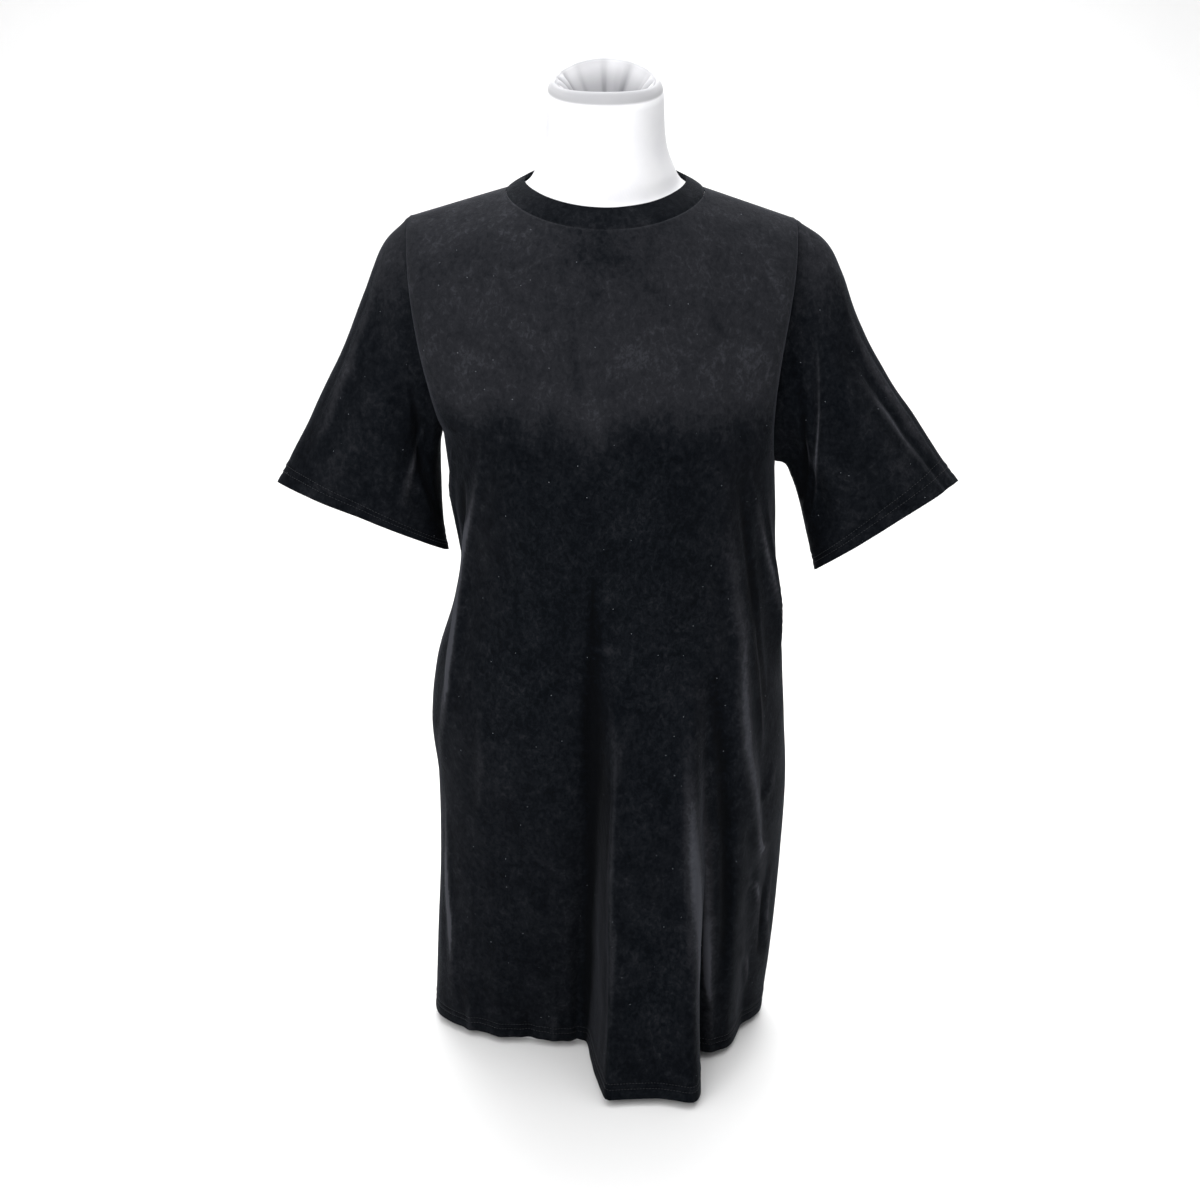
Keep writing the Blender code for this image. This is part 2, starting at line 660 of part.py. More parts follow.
def make_form(body, cover):
    """The torso: body rings, flat armhole ends, a neck and a funnel in the neck's cap."""
    shares = column_shares(FORM_SHOULDER_COLUMNS, FORM_NECK_COLUMNS)
    climbs = climb_rows(FORM_ARMHOLE_ROWS)
    low_rows = body_rows(body, FORM_BOTTOM_Z, FORM_BODY_ROWS)
    front = panel_grid(body, shares, low_rows, climbs, FORM_BOTTOM_Z, back=False)
    back = panel_grid(body, shares, low_rows, climbs, FORM_BOTTOM_Z, back=True)
    for row in range(len(low_rows)):
        back[row][0], back[row][-1] = front[row][0].copy(), front[row][-1].copy()
    form = bmesh.new()
    panels = form.faces.layers.int.new("panel")
    lay_grid(form, panels, 0, front)
    lay_grid(form, panels, 0, back, flip=True)
    neck = slice(FORM_SHOULDER_COLUMNS, -FORM_SHOULDER_COLUMNS)
    loop = front[-1][neck] + back[-1][neck][-2:0:-1]
    directions = []
    for point in loop:
        turn = math.atan2(point.y - NECK_Y, point.x)
        directions.append((math.cos(turn), math.sin(turn)))
    rings = [loop] + [neck_ring(ring, directions) for ring in NECK_RINGS]
    lay_grid(form, panels, 0, rings, closed=True)
    bmesh.ops.remove_doubles(form, verts=form.verts, dist=1e-6)
    bmesh.ops.holes_fill(form, edges=[edge for edge in form.edges if edge.is_boundary], sides=0)
    bmesh.ops.recalc_face_normals(form, faces=form.faces)
    bmesh.ops.triangulate(form, faces=form.faces)
    mesh = bpy.data.meshes.new("form_torso")
    form.to_mesh(mesh)
    form.free()
    add_object("form_torso", mesh, cover)


def make_pole(steel):
    """The turned pole with its top flange, from just over the base to just under the torso."""
    bottom, top = BASE_THICKNESS + SEAM_GAP, FORM_BOTTOM_Z - SEAM_GAP
    profile = (
        (0.0, top), (FLANGE_RADIUS, top), (FLANGE_RADIUS, top - FLANGE_THICKNESS),
        (POLE_RADIUS, top - FLANGE_THICKNESS), (POLE_RADIUS, bottom), (0.0, bottom),
    )
    turned = bmesh.new()
    points = [turned.verts.new((radius, 0.0, height)) for radius, height in profile]
    edges = [turned.edges.new(pair) for pair in zip(points, points[1:])]
    bmesh.ops.spin(
        turned, geom=points + edges, axis=(0, 0, 1), cent=(0, 0, 0), angle=2 * math.pi,
        steps=STAND_SIDES, use_merge=True,
    )
    bmesh.ops.remove_doubles(turned, verts=turned.verts, dist=1e-6)
    bmesh.ops.recalc_face_normals(turned, faces=turned.faces)
    mesh = bpy.data.meshes.new("form_pole")
    turned.to_mesh(mesh)
    turned.free()
    add_object("form_pole", mesh, steel)


def make_base(steel):
    """The flat base plate, a rounded oblong inside the hem, with a bevelled top edge."""
    plate = bmesh.new()
    power = 2.0 / BASE_SQUARENESS
    outline = []
    for k in range(BASE_SIDES):
        turn = 2.0 * math.pi * k / BASE_SIDES
        sine, cosine = math.sin(turn), math.cos(turn)
        x = BASE_HALF_WIDTH * math.copysign(abs(cosine) ** power, cosine)
        y = BASE_Y + BASE_HALF_DEPTH * math.copysign(abs(sine) ** power, sine)
        outline.append(plate.verts.new((x, y, 0.0)))
    bottom = plate.faces.new(outline)
    raised = bmesh.ops.extrude_face_region(plate, geom=[bottom])
    top = [item for item in raised["geom"] if isinstance(item, bmesh.types.BMVert)]
    bmesh.ops.translate(plate, verts=top, vec=(0.0, 0.0, BASE_THICKNESS))
    bmesh.ops.recalc_face_normals(plate, faces=plate.faces)
    rim = [
        edge for edge in plate.edges
        if all(vertex.co.z > BASE_THICKNESS / 2 for vertex in edge.verts)
    ]
    bmesh.ops.bevel(
        plate, geom=rim, offset=BASE_BEVEL, segments=1, profile=0.5, affect="EDGES", material=-1,
    )
    mesh = bpy.data.meshes.new("form_base")
    plate.to_mesh(mesh)
    plate.free()
    add_object("form_base", mesh, steel)


def form_body(dress):
    """The form's body: the dress's shoulders, set in by the cloth and a small clearance."""
    drop = WALL + FORM_CLEARANCE
    right = FORM_RIGHT_ARM._replace(tip_z=ridge_height(dress, -FORM_RIGHT_ARM.tip_x) - drop)
    left = FORM_LEFT_ARM._replace(tip_z=ridge_height(dress, FORM_LEFT_ARM.tip_x) - drop)
    neck_x = NECK_POINT.x - FORM_NECK_INSET
    neck = Vector((neck_x, NECK_POINT.y, ridge_height(dress, neck_x) - drop))
    return Body(
        FORM_SECTIONS, (), right, left, neck, FRONT_NECK_DROP, BACK_NECK_RISE, FORM_ARMHOLE_FRONT,
        FORM_ARMHOLE_BACK,
    )


def main():
    """Builds the dress and its form."""
    clear_scene()
    velour = make_material("black_velour", (0.012, 0.013, 0.016), 0.9)
    cover = make_material("white_jersey", (0.82, 0.82, 0.84), 0.8)
    steel = make_material("pale_enamel", (0.75, 0.75, 0.76), 0.4)
    dress = Body(
        DRESS_SECTIONS, tuple(FOLDS.values()), DRESS_RIGHT_ARM, DRESS_LEFT_ARM, NECK_POINT,
        FRONT_NECK_DROP, BACK_NECK_RISE, ARMHOLE_FRONT, ARMHOLE_BACK,
    )
    make_dress(dress, velour)
    make_form(form_body(dress), cover)
    make_pole(steel)
    make_base(steel)


main()
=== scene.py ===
"""The looks of a black velour T-shirt dress that hangs on a limbless white dress form.

Metres, +Z up. The wearer's front faces -Y, and -X is the wearer's right. Each cloth piece is a fine shell on
the form of its solid: a grid laid on the dress's own surface, with the creases of the real cloth moved in and
out of it, and then given its thickness.
"""

import logging
import math
from dataclasses import dataclass
from enum import Enum

import bmesh
import bpy
import numpy as np
from mathutils import Matrix, Vector, noise


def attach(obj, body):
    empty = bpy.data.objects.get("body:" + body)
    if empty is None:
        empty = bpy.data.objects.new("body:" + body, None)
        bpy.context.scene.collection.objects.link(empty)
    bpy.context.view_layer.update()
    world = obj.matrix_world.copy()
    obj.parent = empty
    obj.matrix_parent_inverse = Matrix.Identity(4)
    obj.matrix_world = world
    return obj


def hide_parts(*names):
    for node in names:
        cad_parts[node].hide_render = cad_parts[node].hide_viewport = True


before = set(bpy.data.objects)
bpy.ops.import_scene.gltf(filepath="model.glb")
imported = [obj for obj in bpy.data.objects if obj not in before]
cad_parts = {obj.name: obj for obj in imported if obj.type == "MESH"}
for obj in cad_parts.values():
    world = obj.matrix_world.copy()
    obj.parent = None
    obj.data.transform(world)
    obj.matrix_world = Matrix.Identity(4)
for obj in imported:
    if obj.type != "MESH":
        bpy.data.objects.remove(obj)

LOG = logging.getLogger("dress")
BODY = "root"
MERGE = 1e-6
CLOTH_WALL = 0.002

Array = np.ndarray
Colour = tuple[float, float, float]
Material = bpy.types.Material
Mesh = bpy.types.Mesh
Piece = bpy.types.Object
Socket = bpy.types.NodeSocket


class Half(Enum):
    """Which half of the body a panel covers."""

    FRONT = "front"
    BACK = "back"


def ease(value: Array, start: float = 0.0, span: float = 1.0) -> Array:
    """Gives 0 up to the start, 1 from a span beyond it, and an even turn between."""
    part = np.clip((value - start) / span, 0.0, 1.0)
    return part * part * (3.0 - 2.0 * part)


def bell(off: Array, width: float) -> Array:
    """Gives 1 where off is 0, and less the farther off, over a width."""
    return np.exp(-((off / width) ** 2))


def run_along(x: Array, y: Array) -> Array:
    """Gives the distance gone along a line at each of its points."""
    return np.concatenate([[0.0], np.cumsum(np.hypot(np.diff(x), np.diff(y)))])


def curve_through(places: Array, values: Array, at: Array) -> Array:
    """Reads a smooth curve through values at rising places.

    Args:
        places: where the values hold, in rising order.
        values: the curve's values there, or a row of points for each.
        at: where to read it, of any shape.

    Returns:
        The curve's values, or rows, for each place in `at`.
    """
    slope = np.gradient(values, places, axis=0)
    at = np.clip(at, places[0], places[-1])
    left = np.minimum(np.searchsorted(places, at, side="right") - 1, len(places) - 2)
    inner = np.shape(at) + (1,) * (values.ndim - 1)
    span = (places[left + 1] - places[left]).reshape(inner)
    t = (at - places[left]).reshape(inner) / span
    ends = values[left] * (1 + 2 * t) * (1 - t) ** 2 + values[left + 1] * t * t * (3 - 2 * t)
    return ends + span * (slope[left] * t * (1 - t) ** 2 - slope[left + 1] * t * t * (1 - t))


def read_rows(rows: tuple, by: str, field: str, at: Array) -> Array:
    """Reads one field of a table's rows smoothly, at places counted in the field that it rises by."""
    places, values = (np.array([getattr(row, name) for row in rows]) for name in (by, field))
    return curve_through(places, values, at)


def from_millimetres(kind: type, lengths: int, *rows: tuple) -> tuple:
    """Makes a table of one kind from rows whose first so many numbers are lengths in millimetres."""
    return tuple(kind(*(size / 1000 for size in row[:lengths]), *row[lengths:]) for row in rows)


@dataclass(frozen=True)
class Section:
    """One level of a body: how far it reaches from the pole's axis, and where it is widest."""

    height: float
    left: float
    right: float
    front: float
    back: float
    side_y: float
    squareness: float


@dataclass(frozen=True)
class Fold:
    """A large fold. Its places are distances round the cloth from the centre front or the centre back."""

    low: float
    high: float
    at_low: float
    at_high: float
    half_low: float
    half_high: float
    depth: float
    edge: float
    growth: float
    half: Half = Half.FRONT

    def drop(self, height: Array) -> Array:
        """Gives how far down the fold heights lie, from 0 at its top to 1 at its foot."""
        return np.clip((self.high - height) / (self.high - self.low), 0.0, 1.0)

    def middle(self, height: Array) -> tuple[Array, Array]:
        """Gives the fold's place and half width at heights.

        Args:
            height: the points' heights.

        Returns:
            The place and the half width at each.
        """
        drop = self.drop(height)
        place = self.at_high + (self.at_low - self.at_high) * drop
        return place, self.half_high + (self.half_low - self.half_high) * drop

    def lift(self, height: Array, distance: Array) -> Array:
        """Gives how far the fold lifts the cloth.

        Args:
            height: the points' heights.
            distance: their distances round the cloth.

        Returns:
            The lift of each point.
        """
        (place, half), drop = self.middle(height), self.drop(height)
        size = drop**self.growth if self.growth else np.sin(np.pi * drop) ** 2
        return self.depth * size * ease((half + self.edge - np.abs(distance - place)) / (2 * self.edge))

    def lean(self, height: Array, distance: Array, top: float) -> Array:
        """Gives how far the fold's right side leans over.

        Args:
            height: the points' heights.
            distance: their distances round the cloth.
            top: how far the fold's top edge moves at the bottom.

        Returns:
            The move of each point.
        """
        middle, half = self.middle(height)
        across = ease(distance - middle + half + self.edge, 0.0, 2.0 * half)
        return top * self.lift(height, distance) / self.depth * (1.0 - across) ** 0.5

    def foot(self, height: Array, distance: Array, side: int, move: float, reach: float) -> Array:
        """Gives how far the cloth beside the fold's foot moves with it.

        Args:
            height: the points' heights.
            distance: their distances round the cloth.
            side: 1 for the foot on the wearer's left, -1 for the one on the right.
            move: how far the foot moves at the bottom.
            reach: how far beside the foot the cloth goes with it.

        Returns:
            The move of each point.
        """
        middle, half = self.middle(height)
        beside = bell(distance - middle - side * (half + self.edge), reach)
        return move * beside * self.drop(height) ** self.growth


@dataclass(frozen=True)
class Side:
    """One shoulder and armpit. sign is -1 on the wearer's right."""

    sign: int
    tip_x: float
    tip_z: float
    armpit_x: float
    armpit_z: float
    bow: float


@dataclass(frozen=True)
class Turn:
    """How the cloth leans in and turns over towards the shoulder ridge."""

    lean: float
    power: float
    softness: float = 0.05

    def back_share(self, rise: Array) -> Array:
        """Gives how far back the cloth has come at a share of the way up to the ridge."""
        lean = rise * rise * (1.0 + self.softness) / (rise + self.softness)
        return self.lean * lean + (1.0 - self.lean) * (1.0 - np.sqrt(1.0 - rise**self.power))


@dataclass(frozen=True)
class Crease:
    """A soft ridge, or a trough where depth is below 0, that fades out at both ends.

    Its path's points are (distance round the cloth from the centre, height).
    """

    half_width: float
    depth: float
    # shade sets how strong the crease's painted light is: painted highlight on a ridge, painted shade in a
    # trough.
    shade: float
    path: Array
    full_trough: float = 0.004
    full_ridge: float = 0.003
    ridge_shade: float = 1.6

    def lift(self, place: Array, height: Array) -> Array:
        """Gives how far the crease moves the cloth out.

        Args:
            place: distances round the cloth from the centre.
            height: the heights of the same points.

        Returns:
            The lift in metres, in the same shape.
        """
        steps = np.hypot(*np.diff(self.path, axis=0).T)
        total, gone = steps.sum(), 0.0
        nearest, run = np.full(place.shape, 1e9), np.zeros(place.shape)
        for start, away, step in zip(self.path, np.diff(self.path, axis=0), steps):
            t = ((place - start[0]) * away[0] + (height - start[1]) * away[1]) / step**2
            t = np.clip(t, 0.0, 1.0)
            off = np.hypot(place - start[0] - t * away[0], height - start[1] - t * away[1])
            run = np.where(off < nearest, (gone + t * step) / total, run)
            nearest = np.minimum(nearest, off)
            gone += step
        shape = 0.5 + 0.5 * np.cos(np.pi * np.clip(nearest / self.half_width, 0.0, 1.0))
        return self.depth * shape * np.sin(np.pi * np.clip(run, 0.0, 1.0)) ** 0.6

    def painted_light(self, lift: Array) -> Array:
        """Gives the crease's painted light: a thin painted highlight on a ridge, wide painted shade in a
        trough.

        Args:
            lift: the crease's lift of each point.

        Returns:
            The painted light there, above 0 for painted highlight and below 0 for painted shade.
        """
        share = lift / self.depth
        if self.depth < 0:
            return -self.shade * share * min(1.0, -self.depth / self.full_trough)
        return self.shade * self.ridge_shade * share**3 * min(1.0, self.depth / self.full_ridge)


def creases(*rows: tuple[float, ...]) -> tuple[Crease, ...]:
    """Makes a panel's creases.

    Args:
        rows: half width, depth, shade (how strong its painted light is), and the path's places and
        heights. Lengths are in millimetres.

    Returns:
        The creases.
    """
    return tuple(
        Crease(width / 1000, depth / 1000, shade, np.reshape(path, (-1, 2)) / 1000)
        for width, depth, shade, *path in rows
    )


@dataclass(frozen=True)
class Body:
    """What the dress and its form have in common: sections, folds, shoulders and a neckline."""

    sections: tuple[Section, ...]
    folds: tuple[Fold, ...]
    right: Side
    left: Side
    neck: Vector
    armhole_front: float
    armhole_back: float
    bottom: float
    front_drop: float = 0.029
    back_rise: float = 0.013
    shoulder_y: float = -0.008
    shoulder_share: float = 0.2
    ridge_round: float = 0.030
    nape_rise: float = 0.042
    neckline_power: float = 1.3
    armhole_spread: float = 2.4
    armhole_edge: int = 7
    front_turn: Turn = Turn(0.22, 5.0)
    back_turn: Turn = Turn(0.12, 4.5)
    tracked_depth: float = 0.020
    tracking_top: float = 0.625
    tracking_span: float = 0.320
    samples: int = 2880
    level_step: float = 0.0015

    def of_side(self, field: str, on_left: Array) -> Array:
        """Gives a size of the left side, or else the right, for each point."""
        return np.where(on_left, getattr(self.left, field), getattr(self.right, field))

    def armpit_height(self, share: Array) -> Array:
        """Gives the height at which the upper body starts, from the right armpit to the left one."""
        return self.right.armpit_z + (self.left.armpit_z - self.right.armpit_z) * share

    def reading(self, field: str, height: Array) -> Array:
        """Reads one column of the section table at any height."""
        return read_rows(self.sections, "height", field, height)

    def outline(self, height: float, half: Half) -> tuple[Array, ...]:
        """Works out half an outline at a height, folds and all, from the wearer's right to left.

        Args:
            height: the level in metres.
            half: front or back.

        Returns:
            x, y, the distance from the middle before folding, and the distance along once folded.
        """
        left, right, front, back, side_y, squareness = (
            self.reading(field, height)
            for field in ("left", "right", "front", "back", "side_y", "squareness")
        )
        turn = np.linspace(-math.pi, math.pi, self.samples + 1)
        across, along = (
            np.sign(part) * np.abs(part) ** (2 / squareness) for part in (np.sin(turn), np.cos(turn))
        )
        x = across * np.where(across < 0, left, right)
        y = side_y - along * np.where(along > 0, front + side_y, back - side_y)
        gone = run_along(x, y)
        from_front, whole = gone - gone[self.samples // 2], gone[-1] / 2
        from_back = np.where(from_front >= 0, whole - from_front, -whole - from_front)
        lift = sum(
            (fold.lift(height, from_back if fold.half is Half.BACK else from_front) for fold in self.folds),
            start=np.zeros_like(x),
        )
        tangent_x, tangent_y = np.gradient(x), np.gradient(y)
        tangent_x[[0, -1]], tangent_y[[0, -1]] = -1.0, 0.0
        length = np.hypot(tangent_x, tangent_y)
        x, y = x + lift * tangent_y / length, y - lift * tangent_x / length
        quarter = self.samples // 4
        order, base = np.arange(quarter, 3 * quarter + 1), from_front
        if half is Half.BACK:
            order, base = np.r_[quarter:-1:-1, self.samples - 1:3 * quarter - 1:-1], from_back
        return x[order], y[order], base[order], run_along(x[order], y[order])

    def edge_shares(self, height: float, half: Half, line: tuple[Array, ...]) -> Array:
        """Finds the feet and shoulders of the deep folds along a half outline.

        Args:
            height: the level in metres.
            half: front or back.
            line: the half outline at that level.

        Returns:
            Their places, as shares of the outline.
        """
        places = []
        for fold in self.folds:
            if fold.half is half and fold.growth and fold.depth >= self.tracked_depth:
                middle, reach = fold.middle(height)
                steps = (reach - fold.edge, reach + fold.edge)
                places += [middle + side * step for side in (-1, 1) for step in steps]
        return np.interp(sorted(places), line[2], line[3]) / line[3][-1]

    def ladder(self, shares: Array, half: Half) -> Array:
        """Reads the lower body at every level.

        Args:
            shares: the columns, as shares of the way along the half outline.
            half: front or back.

        Returns:
            x, y and the unfolded distance from the middle, as an array (3, levels, columns).
        """
        top = max(self.right.armpit_z, self.left.armpit_z)
        anchors = self.edge_shares(self.bottom, half, self.outline(self.bottom, half))
        rows = []
        for height in np.linspace(self.bottom, top, math.ceil((top - self.bottom) / self.level_step) + 1):
            line, at = self.outline(height, half), shares
            if len(anchors):
                follow = ease((self.tracking_top - height) / self.tracking_span)
                here = anchors + (self.edge_shares(height, half, line) - anchors) * follow
                at = np.interp(shares, [0.0, *anchors, 1.0], [0.0, *here, 1.0])
            rows.append([np.interp(at * line[3][-1], line[3], line[k]) for k in range(3)])
        return np.array(rows).transpose(1, 0, 2)

    def read(self, ladder: Array, heights: Array) -> Array:
        """Reads a ladder between its levels.

        Args:
            ladder: what the lower body reads at every level.
            heights: a height for each row and column.

        Returns:
            x, y and the unfolded distance from the middle, as an array (3, rows, columns).
        """
        top = max(self.right.armpit_z, self.left.armpit_z)
        place = (heights - self.bottom) / (top - self.bottom) * (ladder.shape[1] - 1)
        level = np.clip(place.astype(int), 0, ladder.shape[1] - 2)
        part, columns = place - level, np.arange(heights.shape[1])[None, :]
        return ladder[:, level, columns] * (1 - part) + ladder[:, level + 1, columns] * part

    def ridge_height(self, x: Array, half: Half = Half.FRONT) -> Array:
        """Gives the height of the shoulder ridge.

        Args:
            x: distances from the centre.
            half: front or back, which rises to the nape.

        Returns:
            The height at each.
        """
        tip_x, tip_z = self.of_side("tip_x", x > 0), self.of_side("tip_z", x > 0)
        near, far = math.hypot(self.neck.x, self.ridge_round), np.hypot(tip_x, self.ridge_round)
        slope = (self.neck.z - tip_z) / (far - near)
        inward = np.minimum(1.0, np.abs(x) / self.neck.x)
        nape = self.nape_rise * np.cos(inward * math.pi / 2) ** 2 if half is Half.BACK else 0.0
        return self.neck.z + slope * (near - np.hypot(x, self.ridge_round)) + nape

    def top_edge(self, share: Array, half: Half) -> tuple[Array, Array]:
        """Follows a panel's upper edge: shoulder seam, neckline, shoulder seam.

        Args:
            share: the columns' shares.
            half: front or back.

        Returns:
            x and z at each column.
        """
        tip_x = self.of_side("tip_x", share > 0.5)
        from_tip = np.minimum(share, 1.0 - share) / self.shoulder_share
        shoulder_x = np.where(share > 0.5, 1.0, -1.0) * (tip_x + (self.neck.x - tip_x) * from_tip)
        turn = ((share - self.shoulder_share) / (1.0 - 2.0 * self.shoulder_share) - 0.5) * math.pi
        level = np.maximum(0.0, np.cos(turn))
        rise = self.back_rise * level**2
        if half is Half.FRONT:
            rise = -self.front_drop * level**self.neckline_power
        x = np.where(from_tip <= 1.0, shoulder_x, self.neck.x * np.sin(turn))
        return x, np.where(from_tip <= 1.0, self.ridge_height(shoulder_x), self.neck.z + rise)

    def upper(self, low_x: Array, shares: Array, climbs: Array, half: Half) -> Array:
        """Works out the body from armpit level, climb 0, to the shoulder or neckline, climb 1.

        Args:
            low_x: each column's x at armpit level.
            shares: the columns' shares.
            climbs: the rows' climbs.
            half: front or back.

        Returns:
            The points, as an array (rows, columns, 3).
        """
        share, climb = shares[None, :], climbs[:, None]
        on_left, back = share > 0.5, half is Half.BACK
        armpit_x, tip_x, bow = (self.of_side(field, on_left) for field in ("armpit_x", "tip_x", "bow"))
        start = self.armpit_height(share)
        top_x, top_z = self.top_edge(share, half)
        z = start + (top_z - start) * climb
        across = low_x / armpit_x + (top_x / tip_x - low_x / armpit_x) * climb
        x = across * (armpit_x + (tip_x - armpit_x) * (1.0 - (1.0 - climb) ** self.armhole_spread))
        low = self.armpit_height((across + 1.0) / 2)
        rise = np.clip((z - low) / (self.ridge_height(x, half) - low), 0.0, 1.0)
        side_y, squareness = self.reading("side_y", low), self.reading("squareness", low)
        reach = self.reading("back", low) - side_y if back else -self.reading("front", low) - side_y
        across = np.minimum(1.0, np.abs(across))
        y = side_y + reach * (1.0 - across**squareness) ** (1.0 / squareness)
        edge, to_full_bow = across**self.armhole_edge, 6.75
        armhole, turn = (self.armhole_back, self.back_turn) if back else (-self.armhole_front, self.front_turn)
        bowed = 0.0 if back else bow * edge * to_full_bow * rise * (1.0 - rise) ** 2
        bulge = armhole * edge * 2.0 * np.sqrt(rise - rise * rise)
        y = y + (self.shoulder_y - y) * turn.back_share(rise) + bulge
        return np.stack(np.broadcast_arrays(x - np.where(on_left, 1.0, -1.0) * bowed, y, z), axis=-1)


def outward(points: Array, closed: bool, flip: bool) -> Array:
    """Works out the outward direction at each point of a grid.

    Args:
        points: the grid, as an array (rows, columns, 3).
        closed: whether the last column lies on the first.
        flip: whether rows times columns turn inwards.

    Returns:
        Unit vectors in the same shape.
    """
    padded = np.concatenate([points[:, -2:-1], points, points[:, 1:2]], axis=1) if closed else points
    across = np.gradient(padded, axis=1)
    normal = np.cross(across[:, 1:-1] if closed else across, np.gradient(points, axis=0))
    normal /= np.maximum(np.linalg.norm(normal, axis=-1, keepdims=True), 1e-12)
    return -normal if flip else normal


def travelled(points: Array, axis: int) -> Array:
    """Measures the distance gone along a grid.

    Args:
        points: the grid, as an array (rows, columns, 3).
        axis: 1 along the rows, or 0 along the columns.

    Returns:
        The distance at each point.
    """
    steps = np.linalg.norm(np.diff(points, axis=axis), axis=-1)
    start = np.zeros_like(np.take(steps, [0], axis=axis))
    return np.cumsum(np.concatenate([start, steps], axis=axis), axis=axis)


def unevenness(points: Array, *hollows: tuple[float, float]) -> Array:
    """Works out the slight unevenness of hanging cloth.

    Args:
        points: the grid of points.
        hollows: the size and depth of each kind of hollow, in metres.

    Returns:
        The lift of each point.
    """
    flat = points.reshape(-1, 3)
    lift = np.zeros(len(flat))
    for span, depth in hollows:
        scale = Vector((1.0 / span, 1.0 / span, 0.6 / span))
        lift += [depth * noise.noise(Vector(point) * scale) for point in flat]
    return lift.reshape(points.shape[:2])


@dataclass(frozen=True)
class SeamRoll:
    """How cloth dips into a seam and rolls up beside it."""

    width: float = 0.006
    rise: float = 0.0004
    dip: float = 0.0010
    dip_width: float = 0.0027

    def roll(self, distance: Array, power: float) -> Array:
        """Gives the rolled-up part at distances from the seam, narrower for a higher power."""
        return self.rise * np.sin(np.pi * np.clip(distance / self.width, 0.0, 1.0)) ** power

    def lift(self, distance: Array) -> Array:
        """Gives the whole lift at distances from the seam."""
        return self.roll(distance, 2.0) - self.dip * (1.0 - ease(distance, 0.0, self.dip_width))


@dataclass(frozen=True)
class Hem:
    """A turned hem: its depth, its wall, and two sunk rows of stitches."""

    depth: float = 0.020
    wall: float = 0.0032
    rows: tuple[float, ...] = (0.0105, 0.0165)
    sink: float = 0.0006
    sink_width: float = 0.0020
    wall_fade: float = 0.004
    steps: tuple[float, ...] = (
        0.0, 0.0015, 0.004, 0.0065, 0.0085, 0.0096, 0.0105, 0.0114, 0.0125, 0.0138, 0.0150, 0.0157,
        0.0165, 0.0173, 0.0185, 0.020, 0.022, 0.025, 0.029,
    )

    def lift(self, distance: Array) -> Array:
        """Gives the lift at distances above the edge: full at the turned part, sunk at the stitches."""
        full = (self.wall - CLOTH_WALL) * 0.5 * (1.0 - ease(distance, self.depth, 0.006))
        return full - self.sink * sum(bell(distance - row, self.sink_width) for row in self.rows)


def finished_mesh(name: str, made: bmesh.types.BMesh) -> Mesh:
    """Turns a bmesh into a smooth-shaded mesh and frees it.

    Args:
        name: the mesh's name.
        made: the bmesh.

    Returns:
        The mesh.
    """
    mesh = bpy.data.meshes.new(name)
    made.to_mesh(mesh)
    made.free()
    mesh.shade_smooth()
    return mesh


def in_scene(name: str, data: bpy.types.ID) -> Piece:
    """Puts a mesh, a light or a camera in the scene.

    Args:
        name: its name.
        data: the mesh, the light or the camera.

    Returns:
        The object that holds it.
    """
    piece = bpy.data.objects.new(name, data)
    bpy.context.scene.collection.objects.link(piece)
    return piece


def grid_mesh(name: str, points: Array, cloth: Array, closed: bool, flip: bool) -> Mesh:
    """Lays a bmesh grid on rows of points.

    Args:
        name: the mesh's name.
        points: the grid, as an array (rows, columns, 3).
        cloth: each point's place on the flat cloth in metres, and its painted light, as an array
        (rows, columns, 3).
        closed: whether the last column lies on the first.
        flip: whether the faces have to be turned round.

    Returns:
        The mesh, with the flat places as its UV map and the painted light as a point attribute.
    """
    rows, columns = points.shape[:2]
    made = bmesh.new()
    bmesh.ops.create_grid(made, x_segments=columns - 1, y_segments=rows - 1, size=0.5)
    where = [
        (round((vertex.co.y + 0.5) * (rows - 1)), round((vertex.co.x + 0.5) * (columns - 1)))
        for vertex in made.verts
    ]
    made.verts.index_update()
    layer = made.loops.layers.uv.new("cloth")
    for face in made.faces:
        for loop in face.loops:
            loop[layer].uv = cloth[where[loop.vert.index]][:2]
    # Each point's painted light, which the materials turn into painted highlight and painted shade.
    painted_light = made.verts.layers.float.new("painted_light")
    for vertex, place in zip(made.verts, where):
        vertex.co = points[place]
        vertex[painted_light] = cloth[place][2]
    if flip:
        bmesh.ops.reverse_faces(made, faces=made.faces)
    if closed:
        bmesh.ops.remove_doubles(made, verts=made.verts, dist=MERGE)
    return finished_mesh(name, made)


def add_piece(name: str, mesh: Mesh, material: Material) -> Piece:
    """Puts a finished mesh in the scene, riding on the body and dressed in the finish it is given.

    Args:
        name: the piece's name.
        mesh: its mesh.
        material: its finish.

    Returns:
        The piece.
    """
    mesh.materials.append(material)
    piece = in_scene(name, mesh)
    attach(piece, BODY)
    LOG.info("%s: %d faces", name, len(mesh.polygons))
    return piece


def give_wall(piece: Piece, wall: float, round_off: float, thin: Array | None = None) -> None:
    """Gives a shell its wall, on its inner side, with rounded cut edges.

    Args:
        piece: the shell.
        wall: the wall's largest thickness.
        round_off: how far its edges are rounded.
        thin: the share of the largest thickness at each vertex, or None for all of it.
    """
    solid = piece.modifiers.new("wall", "SOLIDIFY")
    solid.thickness, solid.offset, solid.use_even_offset = wall, -1.0, False
    if thin is not None:
        group = piece.vertex_groups.new(name="thickness")
        for share in np.unique(thin.round(2)):
            group.add([int(k) for k in np.flatnonzero(thin.round(2) == share)], float(share), "REPLACE")
        solid.vertex_group = group.name
    rounding = piece.modifiers.new("rounded edge", "BEVEL")
    rounding.width, rounding.segments = round_off, 2
    rounding.limit_method, rounding.angle_limit = "ANGLE", math.radians(60)


